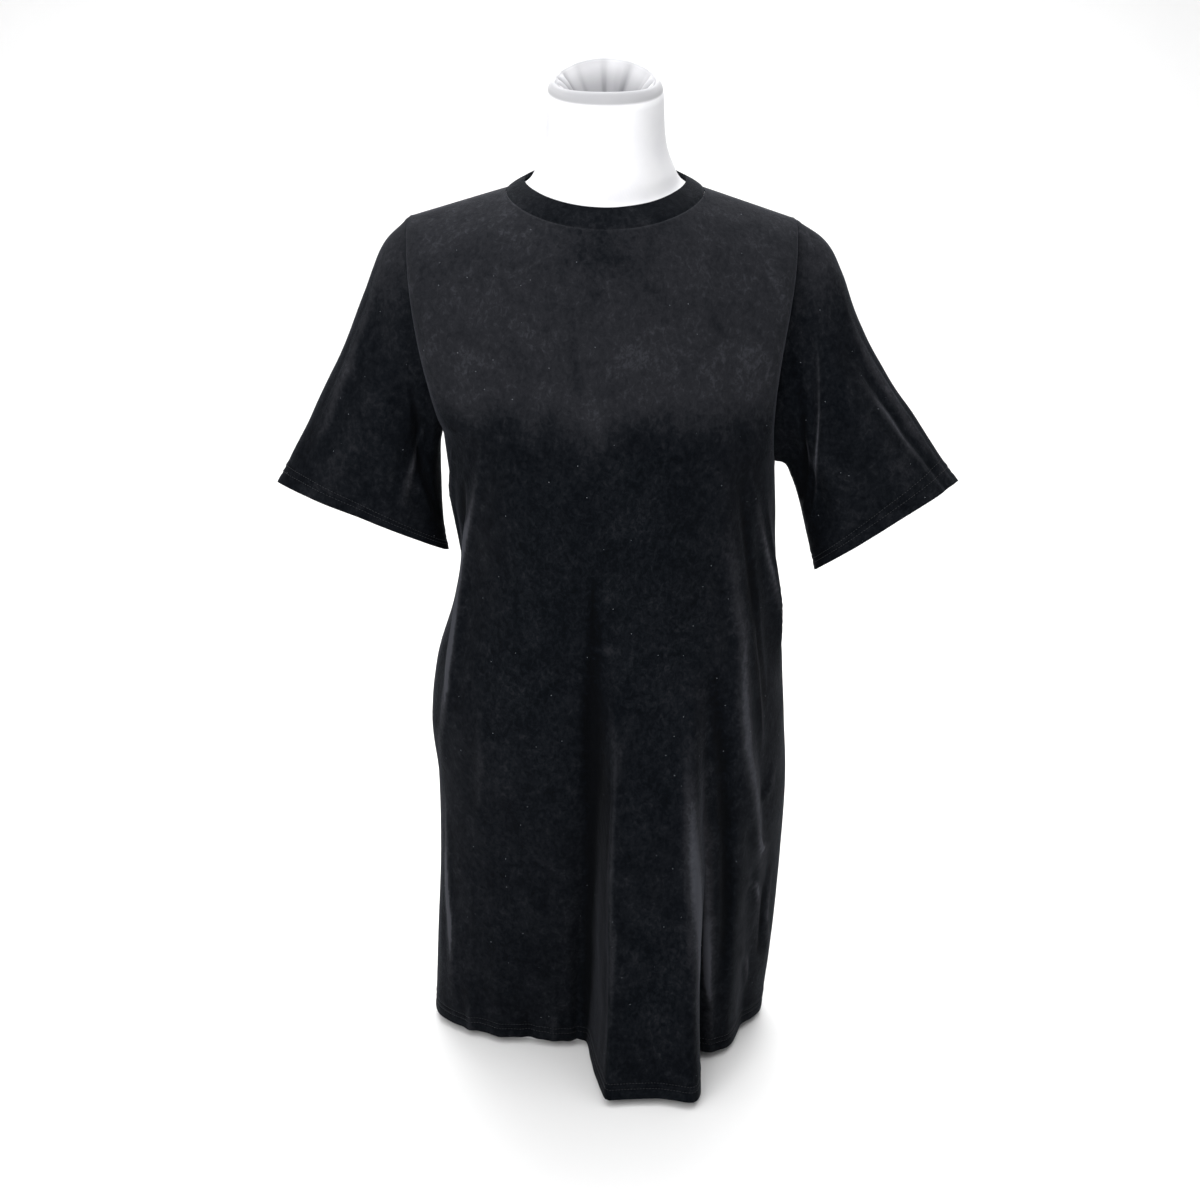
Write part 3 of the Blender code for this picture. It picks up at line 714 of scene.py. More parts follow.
class Graph:
    """A new material, with short ways to add nodes to it."""

    def __init__(self, name: str, colour: Colour, **sockets: float | Colour) -> None:
        """Makes the material and sets its shader's own sockets.

        Args:
            name: the material's name.
            colour: its base colour.
            sockets: the shader's other sockets, with underscores for spaces.
        """
        self.material = bpy.data.materials.new(name)
        self.material.use_nodes = True
        self.shader = self.material.node_tree.nodes["Principled BSDF"]
        for socket, value in {"Base_Color": colour, **sockets}.items():
            whole = (*value, 1.0) if isinstance(value, tuple) else value
            self.shader.inputs[socket.replace("_", " ")].default_value = whole

    def add(self, kind: str, inputs: dict | None = None, **settings: str) -> bpy.types.Node:
        """Adds a node.

        Args:
            kind: the node's type.
            inputs: what goes into its sockets, either values or other nodes' outputs.
            settings: the node's own settings.

        Returns:
            The node.
        """
        node = self.material.node_tree.nodes.new("ShaderNode" + kind)
        for key, value in settings.items():
            setattr(node, key, value)
        for key, value in (inputs or {}).items():
            if isinstance(value, bpy.types.NodeSocket):
                self.material.node_tree.links.new(value, node.inputs[key])
            else:
                node.inputs[key].default_value = value
        return node

    def place(self, kind: str = "Object") -> Socket:
        """Gives the piece's own coordinates."""
        return self.add("TexCoord").outputs[kind]

    def painted_light(self) -> Socket:
        """Gives the painted light and painted shade that the piece's mesh holds at each point."""
        return self.add("Attribute", attribute_name="painted_light").outputs["Fac"]

    def cloud(self, where: Socket, scale: float, detail: float, rough: float = 0.5, warp: float = 0) -> Socket:
        """Adds soft noise and gives its value."""
        values = {"Vector": where, "Scale": scale, "Detail": detail, "Roughness": rough, "Distortion": warp}
        return self.add("TexNoise", values).outputs["Fac"]

    def math(self, operation: str, first: Socket | float, second: Socket | float) -> Socket:
        """Adds a sum of two values and gives its result."""
        return self.add("Math", {0: first, 1: second}, operation=operation).outputs["Value"]

    def ramp(self, value: Socket, *stops: tuple[float, Colour]) -> Socket:
        """Adds a colour ramp.

        Args:
            value: what drives it.
            stops: (place, colour) pairs.

        Returns:
            The ramp's colour.
        """
        node = self.add("ValToRGB", {"Fac": value})
        while len(node.color_ramp.elements) < len(stops):
            node.color_ramp.elements.new(0.5)
        for element, (place, colour) in zip(node.color_ramp.elements, stops):
            element.position, element.color = place, (*colour, 1.0)
        return node.outputs["Color"]

    def mix(self, share: Socket | float, under: Socket, over: Socket | tuple, blend: str = "MIX") -> Socket:
        """Lays one colour over another as far as the share says, and gives the result."""
        values = {"Fac": share, "Color1": under, "Color2": over}
        return self.add("MixRGB", values, blend_type=blend).outputs["Color"]

    def bump(self, height: Socket, strength: float, distance: float, below: Socket | None = None) -> Socket:
        """Adds a bump.

        Args:
            height: what drives it.
            strength: how strong it is.
            distance: how high it is.
            below: the bump that it lies on, if there is one.

        Returns:
            Its normal.
        """
        values = {"Height": height, "Strength": strength, "Distance": distance}
        if below is not None:
            values["Normal"] = below
        return self.add("Bump", values).outputs["Normal"]

    def finish(self, **outputs: Socket) -> Material:
        """Joins outputs to the shader's sockets.

        Args:
            outputs: what goes into each socket, with underscores for spaces.

        Returns:
            The material.
        """
        for socket, output in outputs.items():
            self.material.node_tree.links.new(output, self.shader.inputs[socket.replace("_", " ")])
        return self.material


@dataclass(frozen=True)
class Velour:
    """Black velour: random light and dark patches of nap, painted highlights and painted shade, and lint
    specks.
    """

    # From deep to bright. The random patches move along it, and the painted light moves it further: painted
    # shade at the dark end, painted highlights at the light end.
    tones: tuple[tuple[float, Colour], ...] = (
        (0.28, (0.0002, 0.0006, 0.0013)), (0.43, (0.0009, 0.0017, 0.0031)), (0.57, (0.0040, 0.0051, 0.0070)),
        (0.78, (0.0150, 0.0158, 0.0190)), (0.96, (0.0420, 0.0440, 0.0520)),
    )
    patch_scale: float = 28.0
    patch_share: float = 0.60
    brush_scale: float = 210.0
    brush_share: float = 0.65
    pile_scale: float = 1500.0
    pile_depth: float = 0.0004
    lie_depth: float = 0.0014
    # How far the painted light moves the colour along the ramp, and how much it calms the random patches.
    painted_light_share: float = 0.30
    liveliest: float = 1.05
    calmed_by_painted_light: float = 0.45
    calmest: float = 0.4
    lint: Colour = (0.16, 0.17, 0.19)
    lint_scale: float = 120.0
    lint_size: float = 0.050
    lint_share: float = 0.78

    def build(self) -> Material:
        """Makes the material.

        Returns:
            The material.
        """
        graph = Graph(
            "black_velour_nap_and_painted_light", self.tones[2][1], Roughness=0.95, Specular_IOR_Level=0.08, Sheen_Weight=0.045,
            Sheen_Roughness=0.30, Sheen_Tint=(0.72, 0.77, 0.95),
        )
        place, painted_light_value, sum_of = graph.place(), graph.painted_light(), graph.math
        hang = graph.add("Mapping", {"Vector": place, "Scale": (1.0, 1.0, 0.8)}).outputs["Vector"]
        patches = graph.cloud(hang, self.patch_scale, 8.0, 0.74, 0.8)
        brushed = graph.cloud(hang, self.brush_scale, 4.0, 0.7, 0.6)
        patches = sum_of("MULTIPLY", patches, self.patch_share)
        lie = sum_of("ADD", patches, sum_of("MULTIPLY", brushed, self.brush_share))
        lie = sum_of("SUBTRACT", lie, (self.patch_share + self.brush_share) / 2)
        # The painted light calms the random patches where it is high and moves the colour along the ramp:
        # painted highlights above 0, painted shade below.
        calm = sum_of("SUBTRACT", self.liveliest, sum_of("MULTIPLY", painted_light_value, self.calmed_by_painted_light))
        calm = sum_of("MULTIPLY", lie, sum_of("MAXIMUM", calm, self.calmest))
        mottle_and_painted_light = sum_of("ADD", calm, sum_of("MULTIPLY", painted_light_value, self.painted_light_share))
        shade = graph.ramp(sum_of("ADD", mottle_and_painted_light, 0.5), *self.tones)
        cells = graph.add("TexVoronoi", {"Vector": place, "Scale": self.lint_scale})
        near = sum_of("LESS_THAN", cells.outputs["Distance"], self.lint_size)
        parts = graph.add("SeparateColor", {"Color": cells.outputs["Color"]})
        some = sum_of("GREATER_THAN", parts.outputs["Red"], self.lint_share)
        colour = graph.mix(sum_of("MULTIPLY", near, some), shade, (*self.lint, 1.0))
        pile, laid_over = graph.cloud(place, self.pile_scale, 2.0), graph.bump(lie, 0.55, self.lie_depth)
        return graph.finish(Base_Color=colour, Normal=graph.bump(pile, 0.5, self.pile_depth, laid_over))


@dataclass(frozen=True)
class Jersey:
    """Fine white jersey: wales and courses of small stitches, a faint unevenness, and painted shade from the
    mesh.
    """

    colour: Colour = (0.93, 0.93, 0.95)
    shade: Colour = (0.88, 0.88, 0.91)
    shadow: Colour = (0.05, 0.05, 0.06)
    wale: float = 0.0014
    course: float = 0.0011

    def build(self) -> Material:
        """Makes the material. A wave texture counts 20 radians to a unit.

        Returns:
            The material.
        """
        graph = Graph(
            "white_jersey_knit", self.colour, Roughness=0.85, Specular_IOR_Level=0.25, Sheen_Weight=0.15,
        )
        flat, waves = graph.place("UV"), []
        for spacing, direction in ((self.wale, "X"), (self.course, "Y")):
            values = {"Vector": flat, "Scale": 2 * math.pi / (20 * spacing), "Distortion": 0.6}
            wave = graph.add("TexWave", values, wave_type="BANDS", bands_direction=direction)
            waves.append(wave.outputs["Fac"])
        plain = graph.ramp(graph.cloud(graph.place(), 30.0, 4.0), (0.3, self.shade), (0.6, self.colour))
        # Painted shade from the mesh's painted light: white where there is none, down to the shadow colour.
        painted_shade = graph.ramp(graph.painted_light(), (0.0, (1.0, 1.0, 1.0)), (1.0, self.shadow))
        return graph.finish(
            Base_Color=graph.mix(1.0, plain, painted_shade, "MULTIPLY"),
            Normal=graph.bump(graph.math("MULTIPLY", *waves), 0.25, 0.0003),
        )


@dataclass(frozen=True)
class Thread:
    """Black sewing thread, a little glossier than the nap."""

    colour: Colour = (0.014, 0.015, 0.018)
    worn: Colour = (0.007, 0.007, 0.009)

    def build(self) -> Material:
        """Makes the material.

        Returns:
            The material.
        """
        graph = Graph("black_thread", self.colour, Roughness=0.6, Specular_IOR_Level=0.3)
        twist = graph.cloud(graph.place(), 2500.0, 1.0)
        colour = graph.ramp(twist, (0.3, self.worn), (0.7, self.colour))
        return graph.finish(Base_Color=colour, Normal=graph.bump(twist, 0.4, 0.0002))


@dataclass(frozen=True)
class Enamel:
    """Pale satin enamel on the stand's steel, with a fine orange peel."""

    colour: Colour = (0.72, 0.72, 0.73)
    worn: Colour = (0.64, 0.64, 0.66)

    def build(self) -> Material:
        """Makes the material.

        Returns:
            The material.
        """
        graph = Graph("pale_satin_enamel", self.colour, Roughness=0.38, Coat_Weight=0.15)
        peel, dust = graph.cloud(graph.place(), 700.0, 1.0), graph.cloud(graph.place(), 12.0, 6.0)
        colour = graph.ramp(dust, (0.35, self.worn), (0.6, self.colour))
        return graph.finish(Base_Color=colour, Normal=graph.bump(peel, 0.15, 0.0002))


def shares_across(shoulder: int, neck: int, seam_steps: tuple[float, ...], shoulder_share: float) -> Array:
    """Places a panel's columns, closer together beside the seams.

    Args:
        shoulder: how many columns each shoulder has, past the ones at the seam.
        neck: how many columns the neckline has.
        seam_steps: the shares of the columns beside the side seam, from 0.
        shoulder_share: the share at which the neckline starts.

    Returns:
        The columns' shares, from 0 to 1.
    """
    edge = np.concatenate([seam_steps, np.linspace(seam_steps[-1], shoulder_share, shoulder + 1)[1:]])
    middle = np.linspace(shoulder_share, 1.0 - shoulder_share, neck + 1)[1:-1]
    return np.concatenate([edge, middle, 1.0 - edge[::-1]])


def climbs_up(count: int, gather: float = 0.7) -> Array:
    """Places the rows from the armpit to the top, closer together at both ends."""
    even = np.linspace(0.0, 1.0, count + 1)
    return even - gather * np.sin(2 * np.pi * even) / (2 * np.pi)


def body_grid(body: Body, half: Half, shares: Array, low: Array, climbs: Array) -> tuple[Array, Array]:
    """Lays a panel on the body's surface.

    Args:
        body: the body.
        half: front or back.
        shares: the columns' shares.
        low: the lower rows, as shares of the way from the bottom to the armpit.
        climbs: the upper rows' climbs.

    Returns:
        The points from the bottom row up, and each one's distance round from the centre.
    """
    ladder, armpit = body.ladder(shares, half), body.armpit_height(shares)
    heights = body.bottom + (armpit - body.bottom)[None, :] * low[:, None]
    x, y, place = body.read(ladder, heights)
    low_x = body.read(ladder, armpit[None, :])[0]
    upper = body.upper(low_x, shares, climbs[1:], half)
    centre = np.abs(low_x) < MERGE
    over = place[-1][None, :] * np.where(centre, 1.0, upper[..., 0] / np.where(centre, MERGE, low_x))
    return np.concatenate([np.stack([x, y, heights], axis=-1), upper]), np.concatenate([place, over])


@dataclass(frozen=True)
class PaintedChestLight:
    """Painted light on the upper body: lighter above the bust as if lit from above, and painted shade
    just under the neckline.
    """

    height: float = 0.664
    softness: float = 0.055
    strength: float = 0.82
    dip: float = 0.014
    dip_x: float = -0.014
    dip_width: float = 0.030
    wobble: float = 0.016
    shaded_z: float = 0.850
    shaded_width: float = 0.045
    shaded_by: float = 0.40

    def painted_light(self, points: Array) -> Array:
        """Gives the painted light at each point.

        Args:
            points: the grid of points.

        Returns:
            The painted light of each point.
        """
        x, z = points[..., 0], points[..., 2]
        # Painted light above a wavy edge at the bust, less a patch of painted shade under the neckline.
        edge = self.height - self.dip * bell(x - self.dip_x, self.dip_width)
        edge = edge + unevenness(points, (0.04, self.wobble), (0.015, 0.4 * self.wobble))
        shaded = self.shaded_by * bell(np.hypot(x, z - self.shaded_z), self.shaded_width)
        return self.strength * ease((z - edge) / self.softness) - shaded


def soften(points: Array, row: int, reach: int = 8, passes: int = 24) -> None:
    """Eases the turn of a grid's surface at one row, all but its first and last column.

    Args:
        points: the grid, which is changed.
        row: the row.
        reach: how many rows to each side give way.
        passes: how often they are eased.
    """
    part = points[row - reach:row + reach + 1, 1:-1]
    for _ in range(passes):
        part[1:-1] += 0.5 * ((part[:-2] + part[2:]) / 2 - part[1:-1])


@dataclass
class ClothPiece:
    """A cut piece of the dress: its name, the part of its cut that shows, and the body it is cut to."""

    name: str
    flat: tuple[float, float]
    area: float
    body: Body

    def lay(
        self, surface: tuple[Array, Array], velour: Material, rests_on: str, wall: float, round_off: float,
        closed: bool = True, flip: bool = False, thin: Array | None = None,
    ) -> Piece:
        """Args:
            surface: the points, and for each its place on the flat cloth and its painted light.
            velour: the cloth.
            rests_on: the piece that holds it up; not used.
            wall: its largest thickness.
            round_off: how far its edges are rounded.
            closed: whether the last column lies on the first.
            flip: whether the faces have to be turned round.
            thin: the share of the largest thickness at each vertex, or None for all of it.

        Returns:
            The piece.
        """
        piece = add_piece(self.name, grid_mesh(self.name, *surface, closed, flip), velour)
        give_wall(piece, wall, round_off, thin)
        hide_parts(self.name.replace("_cloth", ""))
        return piece


@dataclass
class BodyPanel(ClothPiece):
    """The front or the back of the dress: one cut piece with a turned hem."""

    half: Half
    creases: tuple[Crease, ...]
    shoulder_columns: int = 34
    neck_columns: int = 108
    lower_rows: int = 100
    upper_rows: int = 60
    seam_steps: tuple[float, ...] = (0.0, 0.002, 0.0045, 0.008, 0.0125, 0.018)
    hollows: tuple[tuple[float, float], ...] = ((0.090, 0.0030), (0.038, 0.0012), (0.018, 0.0005))
    seam_fade: float = 0.03
    shoulder_fade: float = 0.05
    lean: tuple[float, float, float] | None = None
    spread: tuple[float, float] = (0.010, 0.022)
    chest_light: PaintedChestLight = PaintedChestLight()
    hem: Hem = Hem()
    seam: SeamRoll = SeamRoll()

    def edge_columns(self) -> int:
        """Gives the number of columns of each shoulder seam."""
        return len(self.seam_steps) + self.shoulder_columns

    def surface(self) -> tuple[Array, Array]:
        """Works out the finished outer surface.

        Returns:
            The points, and for each its place on the flat cloth and its painted light.
        """
        body = self.body
        hem_rows = np.array(self.hem.steps) / (body.right.armpit_z - body.bottom)
        low = np.concatenate([hem_rows, np.linspace(hem_rows[-1], 1.0, self.lower_rows + 1)[1:]])
        shares = shares_across(self.shoulder_columns, self.neck_columns, self.seam_steps, body.shoulder_share)
        points, place = body_grid(body, self.half, shares, low, climbs_up(self.upper_rows))
        soften(points, len(low) - 1)
        if self.lean:
            flute, height, (top, foot, reach) = body.folds[0], points[..., 2], self.lean
            points[..., 0] -= flute.lean(height, place, top) + flute.foot(height, place, -1, foot, reach)
            points[..., 0] += flute.foot(height, place, 1, *self.spread)
        across, up = travelled(points, 1), travelled(points, 0)
        seam = np.minimum(np.minimum(across, across[:, -1:] - across), up[-1:] - up)
        calm = ease(up[-1:] - up, 0.0, self.shoulder_fade) * ease(seam, 0.0, self.seam_fade)
        lift = self.hem.lift(up) + self.seam.lift(seam) + unevenness(points, *self.hollows) * calm
        # Painted light: the lit upper body, painted highlights on the creases' ridges, painted shade in their
        # troughs.
        painted_light = self.chest_light.painted_light(points)
        for crease in self.creases:
            moved = crease.lift(place, points[..., 2])
            lift += moved
            painted_light += crease.painted_light(moved)
        out = outward(points, False, self.half is Half.BACK)
        return points + out * lift[..., None], np.stack([across, up, painted_light], axis=-1)

    def build(self, surface: tuple[Array, Array], velour: Material) -> Piece:
        """Builds the panel on its sewn surface, with a thicker wall at the hem.

        Args:
            surface: the points, and what the cloth is like at each.
            velour: the cloth.

        Returns:
            The piece.
        """
        fade = ease(travelled(surface[0], 0), self.hem.depth, self.hem.wall_fade)
        thin = (1.0 - (1.0 - CLOTH_WALL / self.hem.wall) * fade).ravel()
        wall, flip = self.hem.wall, self.half is Half.BACK
        return self.lay(surface, velour, "form_cover", wall, 0.0008, closed=False, flip=flip, thin=thin)


@dataclass(frozen=True)
class Station:
    """One ring of a sleeve, seen from the front, at a share of the way from the armhole to the cuff."""

    outer_x: float
    outer_z: float
    inner_x: float
    inner_z: float
    depth: float
    near_lift: float
    along: float


@dataclass(frozen=True)
class SleeveCrease:
    """A crease down a sleeve. turn counts quarters: 0 at the outer edge, 1 at the front, 2 under the arm."""

    depth: float
    start: float
    end: float
    turn_start: float
    turn_end: float
    half_turn: float
    full_shade_to: float = 0.13

    def lift(self, along: Array, turn: Array) -> Array:
        """Gives how far the crease moves the cloth out.

        Args:
            along: places along the sleeve.
            turn: places round it, in quarters.

        Returns:
            The lift at each.
        """
        run = np.clip((along - self.start) / (self.end - self.start), 0.0, 1.0)
        off = np.abs(turn - (self.turn_start + (self.turn_end - self.turn_start) * run))
        shape = ease(1.0 - np.minimum(off, 4.0 - off) / self.half_turn)
        return self.depth * shape * np.sin(np.pi * run) ** 0.7

    def painted_light(self, lift: Array) -> Array:
        """Gives the crease's painted light: a painted highlight on a ridge, painted shade in a trough."""
        share, narrow = lift / self.depth, min(1.0, (self.full_shade_to / self.half_turn) ** 2)
        return narrow * (1.5 * share**3 if self.depth > 0 else -share)


@dataclass
class Sleeve(ClothPiece):
    """A short wide sleeve with an underarm seam and a turned hem."""

    side: Side
    stations: tuple[Station, ...]
    creases: tuple[SleeveCrease, ...]
    length: float = 0.25
    blend: float = 0.35
    rows: int = 64
    armpit_y: float = -0.010
    upper_rows: int = 60
    seam_steps: tuple[float, ...] = (0.0, 0.006, 0.013, 0.022, 0.034, 0.05)
    hollows: tuple[tuple[float, float], ...] = ((0.060, 0.0024), (0.025, 0.0009))
    seam_fade: float = 0.03
    # Painted highlight on the sleeve's top near the shoulder, and painted shade under the arm.
    lit_top: float = 0.8
    painted_shade_under: float = 0.7
    hem: Hem = Hem()
    seam: SeamRoll = SeamRoll()

    def tube(self, along: Array, turn: Array) -> tuple[Array, Array]:
        """Works out the plain tube.

        Args:
            along: the rows' places along the sleeve.
            turn: the columns' angles round it.

        Returns:
            The points, and the direction from the middle to each.
        """
        side, body = self.side, self.body
        first = Station(side.tip_x, side.tip_z, side.armpit_x, side.armpit_z, body.armhole_front, 0.0, 0.0)
        outer_x, outer_z, inner_x, inner_z, depth, near_lift = (
            read_rows((first, *self.stations), "along", field, along)[:, None]
            for field in ("outer_x", "outer_z", "inner_x", "inner_z", "depth", "near_lift")
        )
        shape = np.ones((len(along), len(turn)))
        outer = np.stack([side.sign * outer_x * shape, body.shoulder_y * shape, outer_z * shape], axis=-1)
        inner = np.stack([side.sign * inner_x * shape, self.armpit_y * shape, inner_z * shape], axis=-1)
        front = np.sin(turn)[None, :] * shape
        rim = (outer - inner) / 2 * np.cos(turn)[None, :, None]
        rim += np.stack([np.zeros_like(front), -depth * front, near_lift * front], axis=-1)
        return (outer + inner) / 2 + rim, rim / np.linalg.norm(rim, axis=-1, keepdims=True)

    def surface(self, seam: Array) -> tuple[Array, Array]:
        """Works out the finished outer surface, from the seam to the cuff.

        Args:
            seam: the armhole's points, down the front from the shoulder and up the back to it again.

        Returns:
            The points, and for each its place on the flat cloth and its painted light.
        """
        turns = np.arccos(1.0 - 2.0 * climbs_up(self.upper_rows))
        turn = np.concatenate([np.pi - turns[::-1], np.pi + turns[1:]])
        hem_rows = 1.0 - np.array(self.hem.steps)[::-1] / self.length
        middle = np.linspace(self.seam_steps[-1], hem_rows[0], self.rows + 1)[1:-1]
        along = np.concatenate([self.seam_steps, middle, hem_rows])[:, None]
        start = self.tube(np.zeros(1), turn)[0][0]
        points, away = self.tube(along[:, 0], turn)
        quarters = (turn * 2.0 / np.pi)[None, :]
        near = np.minimum(quarters, 4.0 - quarters)
        # Painted highlight along the top near the shoulder, painted shade under the arm, then the creases'
        # painted light.
        painted_light = self.lit_top * (1.0 - ease(np.abs(near - 0.2), 0.0, 1.1)) * (1.0 - ease(along, 0.08, 0.35))
        painted_light = painted_light - self.painted_shade_under * ease(near, 1.5, 0.35) * ease(along, 0.15, 0.3)
        lift = 0.0
        for crease in self.creases:
            moved = crease.lift(along, quarters)
            lift = lift + moved
            painted_light = painted_light + crease.painted_light(moved)
        to_seam = (seam - start)[None] * (1.0 - ease(along, 0.0, self.blend))[..., None]
        points = points + away * lift[..., None] + to_seam
        down = travelled(points, 0)
        small = self.hem.lift(down[-1:] - down) + self.seam.roll(down, 1.0)
        small += unevenness(points, *self.hollows) * ease(down, 0.0, self.seam_fade)
        points = points + outward(points, True, self.side.sign < 0) * small[..., None]
        points[:, -1] = points[:, 0]
        return points, np.stack([travelled(points, 1), down, painted_light], axis=-1)

    def build(self, surface: tuple[Array, Array], velour: Material) -> Piece:
        """Builds the sleeve on its finished surface."""
        return self.lay(surface, velour, "front_panel_cloth", CLOTH_WALL, 0.0007, flip=self.side.sign < 0)


@dataclass
class Neckband(ClothPiece):
    """A folded strip sewn into a ring round the neckline."""

    top_x: float = 0.0765
    front_y: float = -0.081
    back_y: float = 0.048
    side_z: float = 0.9005
    front_drop: float = 0.021
    back_rise: float = 0.014
    neckline_power: float = 1.3
    rows: int = 14
    bulge: float = 0.0009
    dip: float = 0.0006
    wall: float = 0.0028
    hollows: tuple[tuple[float, float], ...] = ((0.05, 0.0007), (0.02, 0.0004))
    # Painted light: a little over the whole band, and a painted highlight along its seam.
    lit: float = 0.15
    lit_by_seam: float = 0.5

    def top(self, seam: Array) -> Array:
        """Gives the band's top edge beside each point of the seam.

        Args:
            seam: the neckline seam's points.

        Returns:
            The points of the top edge.
        """
        neck = self.body.neck
        across = np.clip(seam[:, 0] / neck.x, -1.0, 1.0)
        level, back = np.sqrt(np.maximum(0.0, 1.0 - across * across)), seam[:, 1] > neck.y
        y = neck.y + (np.where(back, self.back_y, self.front_y) - neck.y) * level
        rise = np.where(back, self.back_rise * level**2, -self.front_drop * level**self.neckline_power)
        return np.stack([self.top_x * across, y, self.side_z + rise], axis=-1)

    def surface(self, seam: Array) -> tuple[Array, Array]:
        """Works out the outer surface.

        Args:
            seam: the neckline seam's points, which end where they start.

        Returns:
            The points, and for each its place on the flat cloth and its painted light.
        """
        share = np.linspace(0.0, 1.0, self.rows)[:, None, None]
        points = seam[None] * (1.0 - share) + self.top(seam)[None] * share
        swell = self.bulge * np.sin(np.pi * share) ** 0.6 - self.dip * (1.0 - ease(share * 6.0))
        points = points + outward(points, True, False) * swell
        points += outward(points, True, False) * unevenness(points, *self.hollows)[..., None]
        points[:, -1] = points[:, 0]
        # Painted light over the band, brightest as a painted highlight beside the seam.
        painted_light = np.broadcast_to(self.lit + self.lit_by_seam * bell(share[..., 0], 0.05), points.shape[:2])
        return points, np.stack([travelled(points, 1), travelled(points, 0), painted_light], axis=-1)

    def build(self, seam: Array, velour: Material) -> Piece:
        """Builds the band on the neckline seam."""
        return self.lay(self.surface(seam), velour, "form_cover", self.wall, 0.0011)


@dataclass(frozen=True)
class Stitching:
    """Two rows of sewing thread along a hem."""

    length: float = 0.0024
    thickness: float = 0.0006
    spacing: float = 0.0031
    raised: float = 0.0001

    def build(self, name: str, points: Array, out: Array, thread: Material) -> Piece:
        """Sews the rows.

        Args:
            name: the piece's name.
            points: the rows of points that the stitches follow, as an array (rows, columns, 3).
            out: the outward direction at each point.
            thread: the thread.

        Returns:
            The piece.
        """
        made = bmesh.new()
        for line, away in zip(points, out):
            gone = travelled(line[None], 1)[0]
            for middle in np.arange(self.spacing, gone[-1] - self.spacing, self.spacing):
                at = [middle - self.length / 2, middle, middle + self.length / 2]
                before, here, after = np.stack([np.interp(at, gone, line[:, k]) for k in range(3)], axis=-1)
                normal = Vector([float(np.interp(middle, gone, away[:, k])) for k in range(3)]).normalized()
                along = Vector(after - before).normalized()
                side = normal.cross(along).normalized() * self.thickness
                turn = Matrix((along * self.length, side, normal * self.thickness)).transposed()
                where = Matrix.Translation(Vector(here) + normal * self.raised) @ turn.to_4x4()
                bmesh.ops.create_icosphere(made, subdivisions=1, radius=0.5, matrix=where)
        return add_piece(name, finished_mesh(name, made), thread)


@dataclass
class DressCloth:
    """The whole dress: two panels, two sleeves and a neckband, sewn along shared seams."""

    front: BodyPanel
    back: BodyPanel
    right: Sleeve
    left: Sleeve
    band: Neckband
    stitching: Stitching = Stitching()

    def build(self, velour: Material, thread: Material) -> None:
        """Builds every piece of the dress.

        Args:
            velour: the cloth.
            thread: the thread of its hems.
        """
        front, back = self.front.surface(), self.back.surface()
        armpit, edge = len(front[0]) - self.front.upper_rows - 1, self.front.edge_columns()
        self.sew(front[0], back[0], armpit, edge)
        for panel, surface in ((self.front, front), (self.back, back)):
            panel.build(surface, velour)
        neck = slice(edge - 1, 1 - edge)
        self.band.build(np.concatenate([front[0][-1][neck], back[0][-1][neck][::-1][1:]]), velour)
        for sleeve, column in ((self.right, 0), (self.left, -1)):
            armhole = np.concatenate([front[0][armpit:, column][::-1], back[0][armpit:, column][1:]])
            surface = sleeve.surface(armhole)
            sleeve.build(surface, velour)
            rows = [len(surface[0]) - 1 - sleeve.hem.steps.index(row) for row in sleeve.hem.rows]
            self.stitch(sleeve, surface[0], rows, thread)
        for panel, surface in ((self.front, front), (self.back, back)):
            rows = [panel.hem.steps.index(row) for row in panel.hem.rows]
            self.stitch(panel, surface[0], rows, thread)

    def stitch(self, piece: Sleeve | BodyPanel, points: Array, rows: list[int], thread: Material) -> None:
        """Stitches a piece's hem along rows of its grid.

        Args:
            piece: the sleeve or panel.
            points: its grid.
            rows: the rows of its grid to follow.
            thread: the thread.
        """
        closed = isinstance(piece, Sleeve)
        out = outward(points, closed, piece.side.sign < 0 if closed else piece.half is Half.BACK)
        self.stitching.build(piece.name + "_stitches", points[rows], out[rows], thread)

    def sew(self, front: Array, back: Array, armpit: int, edge: int) -> None:
        """Brings the two panels together along their seams.

        Args:
            front: the front panel's points.
            back: the back panel's points.
            armpit: the row at which the side seams end.
            edge: how many columns each shoulder seam has.
        """
        sides = [(slice(0, armpit + 1), column) for column in (0, -1)]
        for seam in (*sides, (-1, slice(0, edge)), (-1, slice(-edge, None))):
            front[seam] = back[seam] = (front[seam] + back[seam]) / 2


@dataclass(frozen=True)
class NeckRing:
    """One ring of the form's neck, which leans forward by its slope."""

    height: float
    half_width: float
    half_depth: float
    bow: float
    slope: float = math.tan(math.radians(15.5))


@dataclass(frozen=True)
class Gather:
    """A pinch of the jersey in the cap's funnel, at an angle round it, in degrees."""

    depth: float
    turn: float
    half_turn: float


